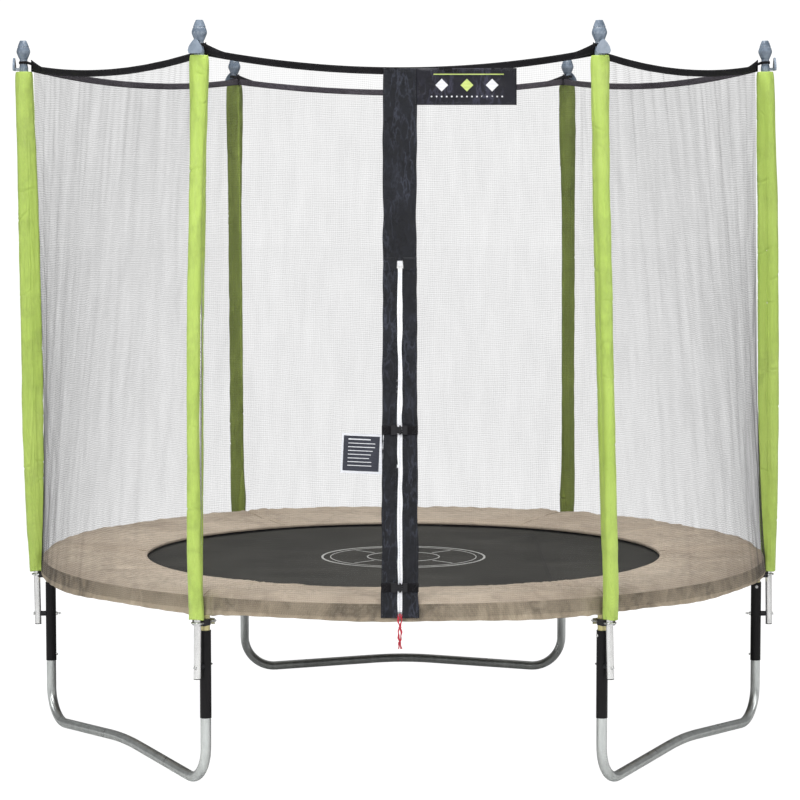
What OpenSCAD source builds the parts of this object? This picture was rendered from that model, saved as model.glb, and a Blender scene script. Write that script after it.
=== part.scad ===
// Backyard trampoline with a six-pole safety enclosure, on three W-shaped legs.
// Origin: centre of the jumping bed, at floor level. +Z up, the zipped door faces -Y.
// Poles and legs stand at 0, 60, 120, 180, 240 and 300 degrees.

/* [Frame] */
// Radius of the circle through the top rail and the legs
rail_r = 1201; // [1180:1:1215]
// Outside diameter of the top rail tube
rail_d = 32; // [30:1:32]
// Height of the top rail's centre line
rail_z = 565; // [560:1:570]
// Wall of the steel tubes
wall = 1.5; // [1.2:0.1:2]
// Outside diameter of the leg tube
leg_d = 32; // [30:1:32]
// Outside diameter of the black leg extensions
ext_d = 35; // [35:1:37]
// Lower and upper ends of the leg extensions
ext_z0 = 215; // [205:1:225]
ext_z1 = 483; // [475:1:488]
// Outside diameter of the welded leg sockets
socket_d = 28.5; // [27:0.5:28.5]
// Bend radius at the foot of a leg
foot_r = 110; // [90:5:130]
// Slope of the base tube up to its raised middle
foot_slope = 4; // [3:0.5:5]

/* [Enclosure] */
// Radius of the circle through the enclosure poles
pole_r = 1245; // [1243:1:1248]
// Outside diameter of a pole
pole_d = 22; // [20:1:22]
// Lower end of a pole
pole_z0 = 339; // [335:1:345]
// Height where the two pole halves meet
pole_mid = 1240; // [1100:10:1400]
// Lower and upper ends of the foam sleeves
foam_z0 = 520; // [520:1:525]
foam_z1 = 2209; // [2200:1:2209]
// Sideways lean of the front left and front right pole tops, towards the door
lean_left = 16; // [0:1:30]
lean_right = 42; // [0:1:42]
// Lean of the two side pole tops, both towards -X
lean_side = 30; // [0:1:30]
// Drop of the net's top band between two poles, at the front, at the back and at the sides
hem_sag = 55; // [30:1:60]
hem_back = 40; // [30:1:60]
hem_side = 35; // [30:1:60]
// Height of the net's top band
hem_h = 20; // [15:1:25]

/* [Clamps] */
// Height of the upper pole clamp
clamp_hi = 510; // [508:1:510]
// Height of the lower pole clamp
clamp_lo = 375; // [370:1:380]
// Thread diameter of clamp bolts
bolt_d = 6; // [5:1:6]

/* [Jumping bed] */
// Radius of the mat
mat_r = 1030; // [1020:1:1032]
// Height of the mat's top face
mat_z = 569.5; // [568:0.5:570]
// Number of springs
springs_n = 48; // [36:12:48]
// Inner radius of the safety pad
pad_in = 868; // [850:1:900]

/* [Door] */
// Sideways place of the zip
door_x = -12; // [-14:1:0]
// Height of the zip's upper end
zip_top = 1600; // [1590:1:1610]
// Width of the door panel at its top and at its bottom
door_w0 = 101; // [96:1:104]
door_w1 = 110; // [104:1:114]
// Angle that each half swings open
door_open = 12; // [8:1:12]
// Heights of the two buckles
buckle_hi = 1100; // [1050:5:1150]
buckle_lo = 637; // [630:1:660]

/* [Hidden] */
$fn = 48;
e = 0.01;

galvanised = [0.80, 0.81, 0.80];
black_paint = [0.10, 0.10, 0.11];
zinc_yellow = [0.85, 0.82, 0.60];
lime = [0.70, 0.83, 0.42];
taupe = [0.76, 0.70, 0.63];
mesh_grey = [0.80, 0.80, 0.82, 0.45];
webbing = [0.09, 0.09, 0.10];
cap_blue = [0.48, 0.54, 0.62];

rt = rail_d / 2;
pr = pole_d / 2;
lean = [-lean_side, -6, -10, -lean_side, lean_left, -lean_right];
hem_sags = [hem_side, hem_back, hem_side, hem_side, hem_sag, hem_side];
lean_span = 2230 - clamp_lo;
net_z0 = 550;                 // lower edge of the net
net_r0 = 1221.4;              // its outer face there
net_r1 = 1211.5;              // its outer face at the pole tops
net_z1 = 2210;                // lower edge of the top band at a pole
net_t = 1.2;
hem_mid = net_z1 - hem_sag;   // lower edge of the top band half way
tilt = atan((net_r0 - net_r1 * cos(30)) / (hem_mid - net_z0));   // the door plane's lean
zip_len = (zip_top - net_z0) / cos(tilt);
slider_low = -(zip_len - 8);
slider_high = -10;
spring_step = 360 / springs_n;

// ---------- helpers ----------
module at(a) { rotate([0, 0, a]) children(); }

// a pole's own frame: x outward, z up, leaning about the lower clamp
module at_pole(i) {
  rotate([0, 0, 60 * i]) translate([pole_r, 0, clamp_lo])
    rotate([0, 0, -60 * i]) rotate([0, atan(lean[i] / lean_span), 0]) rotate([0, 0, 60 * i])
      translate([0, 0, -clamp_lo]) children();
}
module pole_shape(i, r) { at_pole(i) translate([0, 0, pole_z0 - 5]) cylinder(r = r, h = 900); }

module tube(d, t, h) { difference() { cylinder(d = d, h = h); translate([0, 0, -e]) cylinder(d = d - 2 * t, h = h + 2 * e); } }
module ring2(d, t) { difference() { circle(d = d); circle(d = d - 2 * t); } }
module hexnut(af, h, hole) { difference() { cylinder(r = af / 2 / cos(30), h = h, $fn = 6); translate([0, 0, -e]) cylinder(d = hole, h = h + 2 * e, $fn = 32); } }
// a radial cylinder from radius a to radius b
module radial(a, b, z, d, y = 0) { translate([a, y, z]) rotate([0, 90, 0]) cylinder(d = d, h = b - a, $fn = 32); }

// ---------- top rail ----------
module top_rail(i) {
  a0 = 60 * i - 30;
  color(galvanised) difference() {
    union() {
      at(a0) rotate_extrude(angle = 60, $fn = 180) translate([rail_r, rail_z]) ring2(rail_d, wall);
      // neck and the reduced end that enters the next rail
      at(a0 + 59.6) rotate_extrude(angle = 0.4, $fn = 180) translate([rail_r, rail_z]) ring2(rail_d - 0.5, wall + 1.4);
      at(a0 + 59.8) rotate_extrude(angle = 2.3, $fn = 180) translate([rail_r, rail_z]) ring2(rail_d - 2 * wall - 0.4, wall);
    }
    for (k = [0:springs_n / 6 - 1]) at(a0 + (k + 0.5) * spring_step) radial(rail_r - rt - 4, rail_r - 6, rail_z + 2, 6);
  }
}

// ---------- legs ----------
module leg_sockets() {
  color(zinc_yellow) difference() {
    for (i = [0:5]) at(60 * i) translate([rail_r, 0, 395]) cylinder(d = socket_d, h = rail_z - 8 - 395);
    for (i = [0:5]) at(60 * i) translate([rail_r, 0, 394]) cylinder(d = socket_d - 2 * wall, h = rail_z - 394);
    rotate_extrude($fn = 180) translate([rail_r, rail_z]) circle(r = rt + 0.02);
    for (i = [0:5]) at(60 * i) translate([rail_r, 0, 468]) rotate([90, 0, 0]) cylinder(d = 4.4, h = 20, $fn = 24);
  }
}

// one W leg: two uprights and the base tube between them, in the plane x = chord distance
module w_leg(mid) {
  half = rail_r * sin(30);
  a = foot_slope;
  crown = 1500;
  bd = 0.3;
  z_c = (leg_d - bd) / 2 + foot_r;
  y1 = half - foot_r - foot_r * sin(a);
  zz1 = z_c - foot_r * cos(a);
  y2 = crown * sin(a);
  run = (y1 - y2) / cos(a);
  zz2 = zz1 + (y1 - y2) * tan(a);
  // the bends are drawn down a little, and run into the ends of the straights
  module path(d, x) {
    at(mid) translate([rail_r * cos(30), 0, 0]) {
      for (s = [0, 1]) mirror([0, s, 0]) {
        translate([0, half, z_c]) cylinder(d = d, h = 300 - z_c + x);
        // foot bend
        translate([0, half - foot_r, z_c]) rotate([90, 0, 90]) rotate([0, 0, -90.5 - a]) rotate_extrude(angle = 91 + a, $fn = 120) translate([foot_r, 0]) circle(d = d - bd);
        // sloping run
        translate([0, y1, zz1]) rotate([90 - a, 0, 0]) cylinder(d = d, h = run);
      }
      // raised middle
      translate([0, 0, zz2 - crown * cos(a)]) rotate([90, 0, 90]) rotate([0, 0, 89.96 - a]) rotate_extrude(angle = 2 * a + 0.08, $fn = 360) translate([crown, 0]) circle(d = d - bd);
    }
  }
  color(galvanised) difference() {
    path(leg_d, 0);
    path(leg_d - 2 * wall, 1);
    for (s = [-1, 1]) at(mid + 30 * s) radial(rail_r - 30, rail_r, 235, 8);
  }
}

module leg_extensions() {
  color(black_paint) difference() {
    for (i = [0:5]) at(60 * i) translate([rail_r, 0, ext_z0]) cylinder(d = ext_d, h = ext_z1 - ext_z0);
    for (i = [0:5]) at(60 * i) {
      translate([rail_r, 0, ext_z0 - 1]) cylinder(d = leg_d + 0.4, h = 89);
      translate([rail_r, 0, ext_z0 + 80]) cylinder(d = socket_d + 0.5, h = 220);
      radial(rail_r - 30, rail_r, 235, 8);
      radial(rail_r - 30, rail_r + 30, clamp_lo, bolt_d + 0.5);
      translate([rail_r, 0, 468]) rotate([90, 0, 0]) cylinder(d = 4.4, h = 30, $fn = 24);
    }
  }
}

// thread-forming screws that hold the extensions to the sockets
module leg_screws() {
  color(galvanised) for (i = [0:5]) at(60 * i) translate([rail_r, 0, 468]) rotate([90, 0, 0]) {
    cylinder(d = 4, h = ext_d / 2 + 1.5, $fn = 24);
    translate([0, 0, ext_d / 2 + 0.6]) cylinder(d = 10, h = 1.2, $fn = 32);
    translate([0, 0, ext_d / 2 + 1.7]) cylinder(d1 = 8, d2 = 4, h = 2.4, $fn = 32);
  }
}

// spring buttons that lock the leg into the extension
module leg_button(i) {
  color(galvanised) at(60 * i) translate([rail_r, 0, 235]) rotate([0, -90, 0]) {
    translate([0, 0, 8.5]) cylinder(d = 11, h = 3, $fn = 32);
    translate([0, 0, 11]) cylinder(d = 7.6, h = 9.5, $fn = 32);
    translate([0, 0, 20.5]) cylinder(d1 = 7.6, d2 = 4, h = 2.5, $fn = 32);
  }
}
module button_springs() {
  color(galvanised) for (i = [0:5]) at(60 * i) translate([rail_r, 0, 0]) {
    translate([12.4, -2.5, 180]) cube([0.8, 5, 65]);
    translate([-10.8, -4, 180]) cube([24, 8, 0.8]);
    translate([-10.8, -4, 180]) cube([0.8, 8, 48]);
  }
}

// ---------- enclosure poles ----------
module poles_lower() {
  color([0.9, 0.9, 0.9]) difference() {
    for (i = [0:5]) at_pole(i) {
      translate([0, 0, pole_z0 + 2.5]) cylinder(d = pole_d, h = pole_mid - pole_z0 - 2.5);
      translate([0, 0, pole_mid - e]) cylinder(d = pole_d - 2.8, h = 60);
    }
    for (i = [0:5]) at_pole(i) {
      translate([0, 0, pole_z0]) cylinder(d = pole_d - 2.4, h = pole_mid - pole_z0 - 6);
      translate([0, 0, pole_mid - 10]) cylinder(d = pole_d - 5.2, h = 100);
    }
    for (i = [0:5]) at(60 * i) radial(pole_r - 20, pole_r + 20, clamp_lo, bolt_d + 0.5);
  }
}
module poles_upper() {
  color([0.9, 0.9, 0.9]) for (i = [0:5]) at_pole(i)
    translate([0, 0, pole_mid + 0.3]) tube(pole_d, 1.2, 2236 - pole_mid);
}
module pole_plugs() {
  color(webbing) for (i = [0:5]) at_pole(i) {
    translate([0, 0, pole_z0]) cylinder(d = pole_d, h = 2.45);
    translate([0, 0, pole_z0 + 2]) cylinder(d = pole_d - 2.6, h = 14);
  }
}

// lime fabric over split foam tubes
module foam_sleeves() {
  color(lime) for (i = [0:5]) at_pole(i) rotate_extrude($fn = 48)
    polygon([[pr + 0.5, foam_z0], [20.4, foam_z0], [20.4, 565], [21.2, 700], [25, 1200], [27, 1700], [30.2, 2150], [30.2, foam_z1], [pr + 0.5, foam_z1]]);
}

module pole_cap(i) {
  // the two front caps are turned a little towards the front
  color(cap_blue) at_pole(i) rotate([0, 0, [0, 0, 0, 0, 12, -15][i]]) {
    rotate_extrude($fn = 48)
      polygon([[pr + 0.2, 2209.5], [15, 2209.5], [15, 2223], [13, 2232], [13, 2250], [16, 2256], [22.6, 2272], [23, 2278],
               [20, 2288.5], [18.4, 2290], [18.4, 2294], [14.2, 2305], [10.5, 2313], [0, 2313], [0, 2243], [pr + 0.2, 2243]]);
    // hook that keeps the net's loop on the neck
    translate([12, -9, 2213]) cube([22, 18, 9]);
    translate([28, 0, 2213]) rotate([90, 0, 90]) linear_extrude(7)
      polygon([[-20, 0], [20, 0], [23, 9], [20, 20], [13, 31], [5, 40], [0, 43], [-5, 40], [-13, 31], [-20, 20], [-23, 9]]);
  }
}

// ---------- clamps ----------
function ub_c(i) = pole_r - 2.2 + lean[i] * cos(60 * i) * (clamp_hi - clamp_lo) / lean_span;      // centre of the U bend
ub_r = 17.5;
module clamp_u_bolts() {
  color(galvanised) for (i = [0:5]) at(60 * i) {
    translate([ub_c(i), 0, clamp_hi]) rotate([0, 0, -90]) rotate_extrude(angle = 180) translate([ub_r, 0]) circle(d = bolt_d - 0.3, $fn = 32);
    for (s = [-1, 1]) radial(1171, ub_c(i) + 0.4, clamp_hi, bolt_d, s * ub_r);
  }
}
module clamp_blocks() {
  color(webbing) difference() {
    for (i = [0:5]) at(60 * i) translate([1205, -22, clamp_hi - 9]) cube([33, 44, 18]);
    for (i = [0:5]) at(60 * i) {
      translate([rail_r, 0, clamp_hi - 20]) cylinder(d = socket_d + 0.1, h = 40);
      for (s = [-1, 1]) radial(1195, 1250, clamp_hi, bolt_d + 0.4, s * ub_r);
    }
    for (i = [0:5]) pole_shape(i, pr + 0.1);
  }
}
module clamp_plates() {
  color(galvanised) difference() {
    for (i = [0:5]) at(60 * i) translate([rail_r - socket_d / 2 - 3.1, -24, clamp_hi - 9]) cube([3, 48, 18]);
    for (i = [0:5]) at(60 * i) for (s = [-1, 1]) radial(1175, 1195, clamp_hi, bolt_d + 0.6, s * ub_r);
  }
}
module clamp_nuts() {
  color(galvanised) for (i = [0:5]) at(60 * i) {
    for (s = [-1, 1]) translate([rail_r - socket_d / 2 - 3.2 - 5, s * ub_r, clamp_hi]) rotate([0, 90, 0]) hexnut(10, 5, bolt_d + 0.1);
    translate([rail_r - ext_d / 2 - 0.1 - 5, 0, clamp_lo]) rotate([0, 90, 0]) hexnut(10, 5, bolt_d + 0.1);
  }
}
module clamp_bolts() {
  color(galvanised) for (i = [0:5]) at(60 * i) {
    radial(rail_r - ext_d / 2 - 17, pole_r + pr + 2, clamp_lo, bolt_d);
    translate([pole_r + pr + 1.2, 0, clamp_lo]) rotate([0, 90, 0]) cylinder(r1 = 6.2, r2 = 4.4, h = 3.6, $fn = 32);
  }
}
module clamp_spacers() {
  color(webbing) difference() {
    for (i = [0:5]) at(60 * i) radial(rail_r, pole_r, clamp_lo, 17);
    for (i = [0:5]) at(60 * i) { translate([rail_r, 0, clamp_lo - 20]) cylinder(d = ext_d + 0.1, h = 40); radial(rail_r - 1, pole_r + 1, clamp_lo, bolt_d + 0.4); }
    for (i = [0:5]) pole_shape(i, pr + 0.05);
  }
}

// ---------- jumping bed ----------
module jump_mat() {
  color([0.20, 0.20, 0.21]) translate([0, 0, mat_z - 3]) cylinder(r = mat_r, h = 3, $fn = 144);
}
module mat_band() {
  color(webbing) translate([0, 0, mat_z + 0.05]) difference() {
    cylinder(r = mat_r - 0.5, h = 1.4, $fn = 144);
    translate([0, 0, -1]) cylinder(r = mat_r - 26, h = 4, $fn = 144);
  }
}
module v_rings() {
  color(galvanised) for (k = [0:springs_n - 1]) at((k + 0.5) * spring_step) translate([mat_r + 0.5, 0, mat_z - 3]) linear_extrude(3)
    difference() {
      polygon([[0, -15], [0, 15], [3, 16.5], [22, 3.5], [22, -3.5], [3, -16.5]]);
      polygon([[3.2, -12.5], [3.2, 12.5], [18.6, 2], [18.6, -2]]);
    }
}
// extension springs: hollow coil envelope with a hook at each end
module springs() {
  zc = rail_z + 2;
  color(galvanised) for (k = [0:springs_n - 1]) at((k + 0.5) * spring_step) {
    difference() { radial(1062, 1166, zc, 16); radial(1065, 1163, zc, 11); }
    radial(1165.5, 1191.5, zc, 2.6);
    translate([1190.2, 0, zc - 7]) cylinder(d = 2.6, h = 7, $fn = 24);
    radial(1047.6, 1063, zc + 6.2, 2.6);
    translate([1047.6, 0, zc - 4]) cylinder(d = 2.6, h = 11.2, $fn = 24);
  }
}

// ring pad with its hanging skirt
module frame_pad() {
  color(taupe) rotate_extrude($fn = 144)
    polygon([[pad_in, 575.5], [1060, 578], [1178, 585.3], [1213, 585.3], [1213.9, 580], [1215.7, 572.5], [1217.15, 566.8], [1217.15, 563],
             [1217.6, 556], [1217.6, 548], [1219, 548], [1219, 554.5], [1217.7, 565], [1216.7, 572.5], [1215, 585.3], [1214.3, 590],
             [1211.5, 600], [1205.5, 606.5], [1195, 609.5], [1170, 610], [1040, 601], [900, 591], [pad_in + 4, 588], [pad_in, 583]]);
}
// webbing ties from the pad round the rail
module pad_straps() {
  color(webbing) for (k = [0:11]) at(15 + 30 * k) {
    translate([1182.6, -12.5, 545.2]) cube([36.4, 25, 1.4]);
    translate([1182.6, -12.5, 545.2]) cube([1.3, 25, 39.4]);
  }
}

// ---------- net ----------
function cap_point(i) = [net_r1 * cos(60 * i) + lean[i % 6] * (net_z1 - clamp_lo) / lean_span, net_r1 * sin(60 * i)];
function sag(t) = 4 * t * (1 - t);
function low_pt(i, t) = [net_r0 * cos(60 * (i + t)), net_r0 * sin(60 * (i + t)), net_z0];
function top_pt(i, t) = let (a = cap_point(i), b = cap_point((i + 1) % 6)) [a[0] + (b[0] - a[0]) * t, a[1] + (b[1] - a[1]) * t, net_z1 - hem_sags[i] * sag(t)];
function net_pt(i, t, v) = low_pt(i, t) * (1 - v) + top_pt(i, t) * v;
function shift(p, d) = let (r = norm([p[0], p[1]])) [p[0] * (1 + d / r), p[1] * (1 + d / r), p[2]];

// closed thin sheet through rows of outer-face points; every row runs counter-clockwise, rows go up
module sheet(rows, th) {
  n = len(rows[0]);
  m = len(rows);
  N = n * m;
  pts = concat([for (r = rows) each r], [for (r = rows) for (p = r) shift(p, -th)]);
  faces = concat(
    [for (r = [0:m - 2]) for (c = [0:n - 2]) let (a = r * n + c, b = a + 1, d = a + n, f = d + 1)
      each [[a, d, f], [a, f, b], [a + N, f + N, d + N], [a + N, b + N, f + N]]],
    [for (c = [0:n - 2]) let (a = c, b = c + 1) each [[a, b, b + N], [a, b + N, a + N]]],
    [for (c = [0:n - 2]) let (d = (m - 1) * n + c, f = d + 1) each [[f, d, d + N], [f, d + N, f + N]]],
    [for (r = [0:m - 2]) let (a = r * n, d = a + n) each [[d, a, a + N], [d, a + N, d + N]]],
    [for (r = [0:m - 2]) let (b = r * n + n - 1, f = b + n) each [[b, f, f + N], [b, f + N, b + N]]]);
  polyhedron(points = pts, faces = faces);
}

gap = 0.0006;
v_apex = (zip_top + 20 - net_z0) / (hem_mid - net_z0);
t_mid = (door_x - cap_point(4)[0]) / (cap_point(5)[0] - cap_point(4)[0]);
v_half = 236;             // half width of the door opening at its foot
function t_low(x) = (360 - acos(x / net_r0) - 240) / 60;
module safety_net() {
  color(mesh_grey) {
    for (i = [0, 1, 2, 3, 5])
      sheet([for (v = [0, 1]) [for (j = [0:24]) net_pt(i, gap + (1 - 2 * gap) * j / 24, v)]], net_t);
    // front panel, left and right of the door opening
    sheet([for (q = [[0, t_low(door_x - v_half)], [v_apex, t_mid - 0.001], [1, t_mid - 0.001]])
      [for (j = [0:14]) net_pt(4, gap + (q[1] - gap) * j / 14, q[0])]], net_t);
    sheet([for (q = [[0, t_low(door_x + v_half)], [v_apex, t_mid + 0.001], [1, t_mid + 0.001]])
      [for (j = [0:14]) net_pt(4, q[1] + (1 - gap - q[1]) * j / 14, q[0])]], net_t);
  }
}
module net_hem() {
  color(webbing) for (i = [0:5]) {
    row = [for (j = [0:12]) shift(top_pt(i, gap + (1 - 2 * gap) * j / 12), 0.8)];
    sheet([[for (p = row) p + [0, 0, 0.3]], [for (p = row) p + [0, 0, hem_h]]], 2.4);
  }
}
// loops round the cap necks and the cord that ties the net's foot
module net_elastics() {
  color(webbing) {
    for (i = [0:5]) at_pole(i) {
      translate([0, 0, 2234]) difference() {
        union() { cylinder(r = 16.2, h = 10); translate([-32.4, -7, 0]) cube([20, 14, 2.4]); }
        translate([0, 0, -1]) cylinder(r = 13.6, h = 14);
      }
    }
    rotate_extrude($fn = 144) translate([1218.4, 543.4]) circle(d = 3.4, $fn = 24);
  }
}

// ---------- door ----------
// door frame: origin at the zip's upper end on the net's outer face, z along the panel, -y outward
door_y = -(net_r0 - (zip_top - net_z0) * tan(tilt));
module door() { translate([door_x, door_y, zip_top]) rotate([-tilt, 0, 0]) children(); }
// flat shape drawn in (x, z), between outward distances a and b
module layer(a, b) { translate([0, -a, 0]) rotate([90, 0, 0]) linear_extrude(b - a) children(); }
function half_w(z) = (door_w0 + (door_w1 - door_w0) * (-z) / zip_len) / 2;

module banner() {
  color(webbing) translate([187.5, -(1205.6 * 0.024 + 1049.2 * 0.976), 2117]) rotate([-5.57, 0, 0])
    layer(3.6, 4.8) translate([-147.5, -55]) square([295, 110]);
}
module door_top() {
  color([0.17, 0.18, 0.22]) door() layer(4, 6) {
    polygon([[-door_w0 / 2, -18], [-8.6, -18], [-8.6, 2], [8.6, 2], [8.6, -18], [door_w0 / 2, -18], [door_w0 / 2, 574], [-door_w0 / 2, 574]]);
  }
}
module zip_top_end() {
  color("white") door() {
    layer(4.3, 5.3) translate([-8.2, -14]) square([16.4, 15]);
    layer(4, 7) translate([-2.6, -14]) square([5.2, 14]);
  }
}
module net_flap(s) {
  z0 = -26; z1 = -(zip_len - 4);
  color(mesh_grey) door() mirror([s, 0, 0]) layer(1.6, 2.8)
    polygon([[-6, z0], [-8, z0 - 2], [z1 * tan(12.9), z1], [-46, z1], [-46, -230]]);
}
module door_strip(s) {
  z1 = -(zip_len + 2);
  color([0.17, 0.18, 0.22]) door() mirror([s, 0, 0]) layer(4, 6)
    polygon([[-half_w(0), -36], [-8.6, -22], [-8.6, z1], [-half_w(z1), z1]]);
}
module zip_half(s) {
  z1 = -(zip_len - 4.5);
  color("white") door() mirror([s, 0, 0]) {
    layer(4.3, 5.3) polygon([[-8.4, -23], [-0.4, -22], [-0.4, z1], [-8.4, z1]]);
    layer(4, 7) polygon([[-2.6, -22], [-0.4, -22], [-0.4, z1], [-2.6, z1]]);
  }
}
function along(h) = (h - zip_top) / cos(tilt);
module door_straps(s) {
  color(webbing) door() for (h = [buckle_hi, buckle_lo]) translate([0, 0, along(h)]) {
    if (s == 0) layer(6.6, 8.2) translate([-half_w(along(h)) - 1, -13]) square([half_w(along(h)) + 1 - 25, 26]);
    if (s == 1) layer(6.6, 8.2) translate([21, -13]) square([half_w(along(h)) + 1 - 21, 26]);
  }
}
module buckle_sockets() {
  color(webbing) door() for (h = [buckle_hi, buckle_lo]) translate([0, 0, along(h)]) difference() {
    layer(8.4, 16.7) polygon([[-26, -14], [2, -14], [5, -10], [5, 10], [2, 14], [-26, 14]]);
    layer(10.2, 15.8) translate([-18, -11]) square([30, 22]);
    layer(8, 18) translate([-9, -15]) square([7, 5.5]);
    layer(8, 18) translate([-9, 9.5]) square([7, 5.5]);
  }
}
module buckle_plugs() {
  color(webbing) door() for (h = [buckle_hi, buckle_lo]) translate([0, 0, along(h)]) {
    layer(8.4, 16.7) translate([6.5, -13]) square([16, 26]);
    layer(11.4, 14.6) translate([-9.5, -9]) square([17.5, 4.4]);
    layer(11.4, 14.6) translate([-9.5, 4.6]) square([17.5, 4.4]);
    layer(11.4, 14.6) translate([-8, -1.5]) square([16, 3]);
  }
}
module label() {
  color([0.25, 0.26, 0.30]) door() translate([-120 - door_x, 0, along(1031)]) rotate([0, 2.5, 0])
    layer(3, 3.8) translate([-66, -59]) square([124, 118]);
}
module zip_slider() {
  w = 12; h = 15;
  color([0.75, 0.75, 0.77]) door() translate([0, 0, slider_low]) {
    layer(2, 3.4) translate([-w / 2, -h / 2]) square([w, h]);
    layer(7.6, 9.4) translate([-w / 2, -h / 2]) square([w, h]);
    // wedge that parts the coils
    layer(2, 9.4) polygon([[-2, -h / 2], [2, -h / 2], [0.6, -h / 2 + 2.8], [-0.6, -h / 2 + 2.8]]);
    // bail that holds the pull
    layer(9.3, 14) translate([-w / 2 + 1, -4]) square([2, 8]);
    layer(9.3, 14) translate([w / 2 - 3, -4]) square([2, 8]);
    translate([-w / 2 + 1, -12.2, 0]) rotate([0, 90, 0]) cylinder(d = 1.8, h = w - 2, $fn = 24);
  }
}
// ribbon pull, hanging from the slider's bail; it hangs plumb, not along the panel
tag_y = door_y - 12.2 * cos(tilt) + slider_low * sin(tilt);
tag_z = zip_top + slider_low * cos(tilt) + 12.2 * sin(tilt);
module pull_tag() {
  color([0.75, 0.12, 0.2]) translate([door_x, tag_y, tag_z]) difference() {
    union() {
      rotate([0, 90, 0]) translate([0, 0, -2.8]) cylinder(d = 4.4, h = 5.6, $fn = 24);
      translate([-2.8, -1.2, -9]) cube([5.6, 2.4, 9]);
      translate([0, 1.2, 0]) rotate([90, 0, 0]) linear_extrude(2.4)
        polygon([[-3, -8], [3, -8], [10, -22], [9.5, -45], [3, -103], [-3, -103], [-9.5, -45], [-10, -22]]);
    }
    rotate([0, 90, 0]) translate([0, 0, -6]) cylinder(d = 2.4, h = 12, $fn = 24);
  }
}

top_rail(0);  // top_rail_1
top_rail(1);  // top_rail_2
top_rail(2);  // top_rail_3
top_rail(3);  // top_rail_4
top_rail(4);  // top_rail_5
top_rail(5);  // top_rail_6
leg_sockets();
w_leg(210);  // w_leg_left
w_leg(330);  // w_leg_right
w_leg(90);  // w_leg_back
leg_extensions();
leg_screws();
leg_button(0);  // leg_button_1
leg_button(1);  // leg_button_2
leg_button(2);  // leg_button_3
leg_button(3);  // leg_button_4
leg_button(4);  // leg_button_5
leg_button(5);  // leg_button_6
button_springs();
poles_lower();
poles_upper();
pole_plugs();
clamp_u_bolts();
clamp_blocks();
clamp_plates();
clamp_nuts();
clamp_bolts();
clamp_spacers();
foam_sleeves();
pole_cap(0);  // pole_cap_1
pole_cap(1);  // pole_cap_2
pole_cap(2);  // pole_cap_3
pole_cap(3);  // pole_cap_4
pole_cap(4);  // pole_cap_5
pole_cap(5);  // pole_cap_6
frame_pad();
pad_straps();
springs();
jump_mat();
mat_band();
v_rings();
safety_net();
net_hem();
net_elastics();
banner();
door_top();
zip_top_end();
net_flap(0);  // net_flap_left
door_strip(0);  // door_strip_left
zip_half(0);  // zip_half_left
door_straps(0);  // door_straps_left
buckle_sockets();
label();
net_flap(1);  // net_flap_right
door_strip(1);  // door_strip_right
zip_half(1);  // zip_half_right
door_straps(1);  // door_straps_right
buckle_plugs();
zip_slider();
pull_tag();
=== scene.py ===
import bpy
import math
import numpy as np
from mathutils import Matrix, Vector


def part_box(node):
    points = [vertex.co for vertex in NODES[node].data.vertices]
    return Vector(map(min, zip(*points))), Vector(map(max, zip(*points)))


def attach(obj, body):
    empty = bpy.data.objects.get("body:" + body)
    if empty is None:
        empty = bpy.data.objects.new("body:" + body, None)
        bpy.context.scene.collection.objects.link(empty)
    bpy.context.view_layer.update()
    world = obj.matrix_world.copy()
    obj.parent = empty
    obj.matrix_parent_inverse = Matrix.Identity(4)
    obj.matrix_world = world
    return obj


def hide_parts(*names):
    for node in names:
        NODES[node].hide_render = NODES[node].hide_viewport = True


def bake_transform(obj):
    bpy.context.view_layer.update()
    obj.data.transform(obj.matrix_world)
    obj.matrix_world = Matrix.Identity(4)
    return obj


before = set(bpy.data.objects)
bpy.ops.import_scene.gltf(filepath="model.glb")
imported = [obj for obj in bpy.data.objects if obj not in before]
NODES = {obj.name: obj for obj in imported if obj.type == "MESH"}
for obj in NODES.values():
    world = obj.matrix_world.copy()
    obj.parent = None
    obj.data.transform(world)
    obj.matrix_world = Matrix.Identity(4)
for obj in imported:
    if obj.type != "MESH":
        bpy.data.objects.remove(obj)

PI = math.pi
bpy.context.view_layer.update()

# ------------------------------------------------------------------ numbers of the CAD model, in metres
RAIL_R, RAIL_Z = 1.201, 0.565
POLE_R, CLAMP_LO, LEAN_SPAN = 1.245, 0.375, 1.855
LEAN = [-0.030, -0.006, -0.010, -0.030, 0.016, -0.042]
NET_R0, NET_R1, NET_Z0, NET_Z1, SAG = 1.2214, 1.2115, 0.550, 2.210, 0.055
SAGS = [0.035, 0.040, 0.035, 0.035, 0.055, 0.035]
MAT_R, MAT_Z = 1.030, 0.5695
DOOR_X, ZIP_TOP = -0.012, 1.600
TILT = math.atan((NET_R0 - NET_R1 * math.cos(PI / 6)) / (NET_Z1 - SAG - NET_Z0))
ZIP_LEN = (ZIP_TOP - NET_Z0) / math.cos(TILT)
P0 = np.array([DOOR_X, -(NET_R0 - (ZIP_TOP - NET_Z0) * math.tan(TILT)), ZIP_TOP])
UP = np.array([0, math.sin(TILT), math.cos(TILT)])
OUT = np.array([0, -math.cos(TILT), math.sin(TILT)])
SIDE = np.array([1.0, 0, 0])
# the low edge of the net lies on a circle, so the middle of the door panel is at radius NET_R0 at its foot
P0[1] = -(NET_R0 - (ZIP_TOP - NET_Z0) * math.tan(TILT))


def door(x, o, z):
    """A point of the door frame: x across, o outward from the net, z along the panel from the zip's upper end."""
    x, o, z = np.broadcast_arrays(np.asarray(x, float), np.asarray(o, float), np.asarray(z, float))
    return P0 + x[..., None] * SIDE + o[..., None] * OUT + z[..., None] * UP


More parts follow.
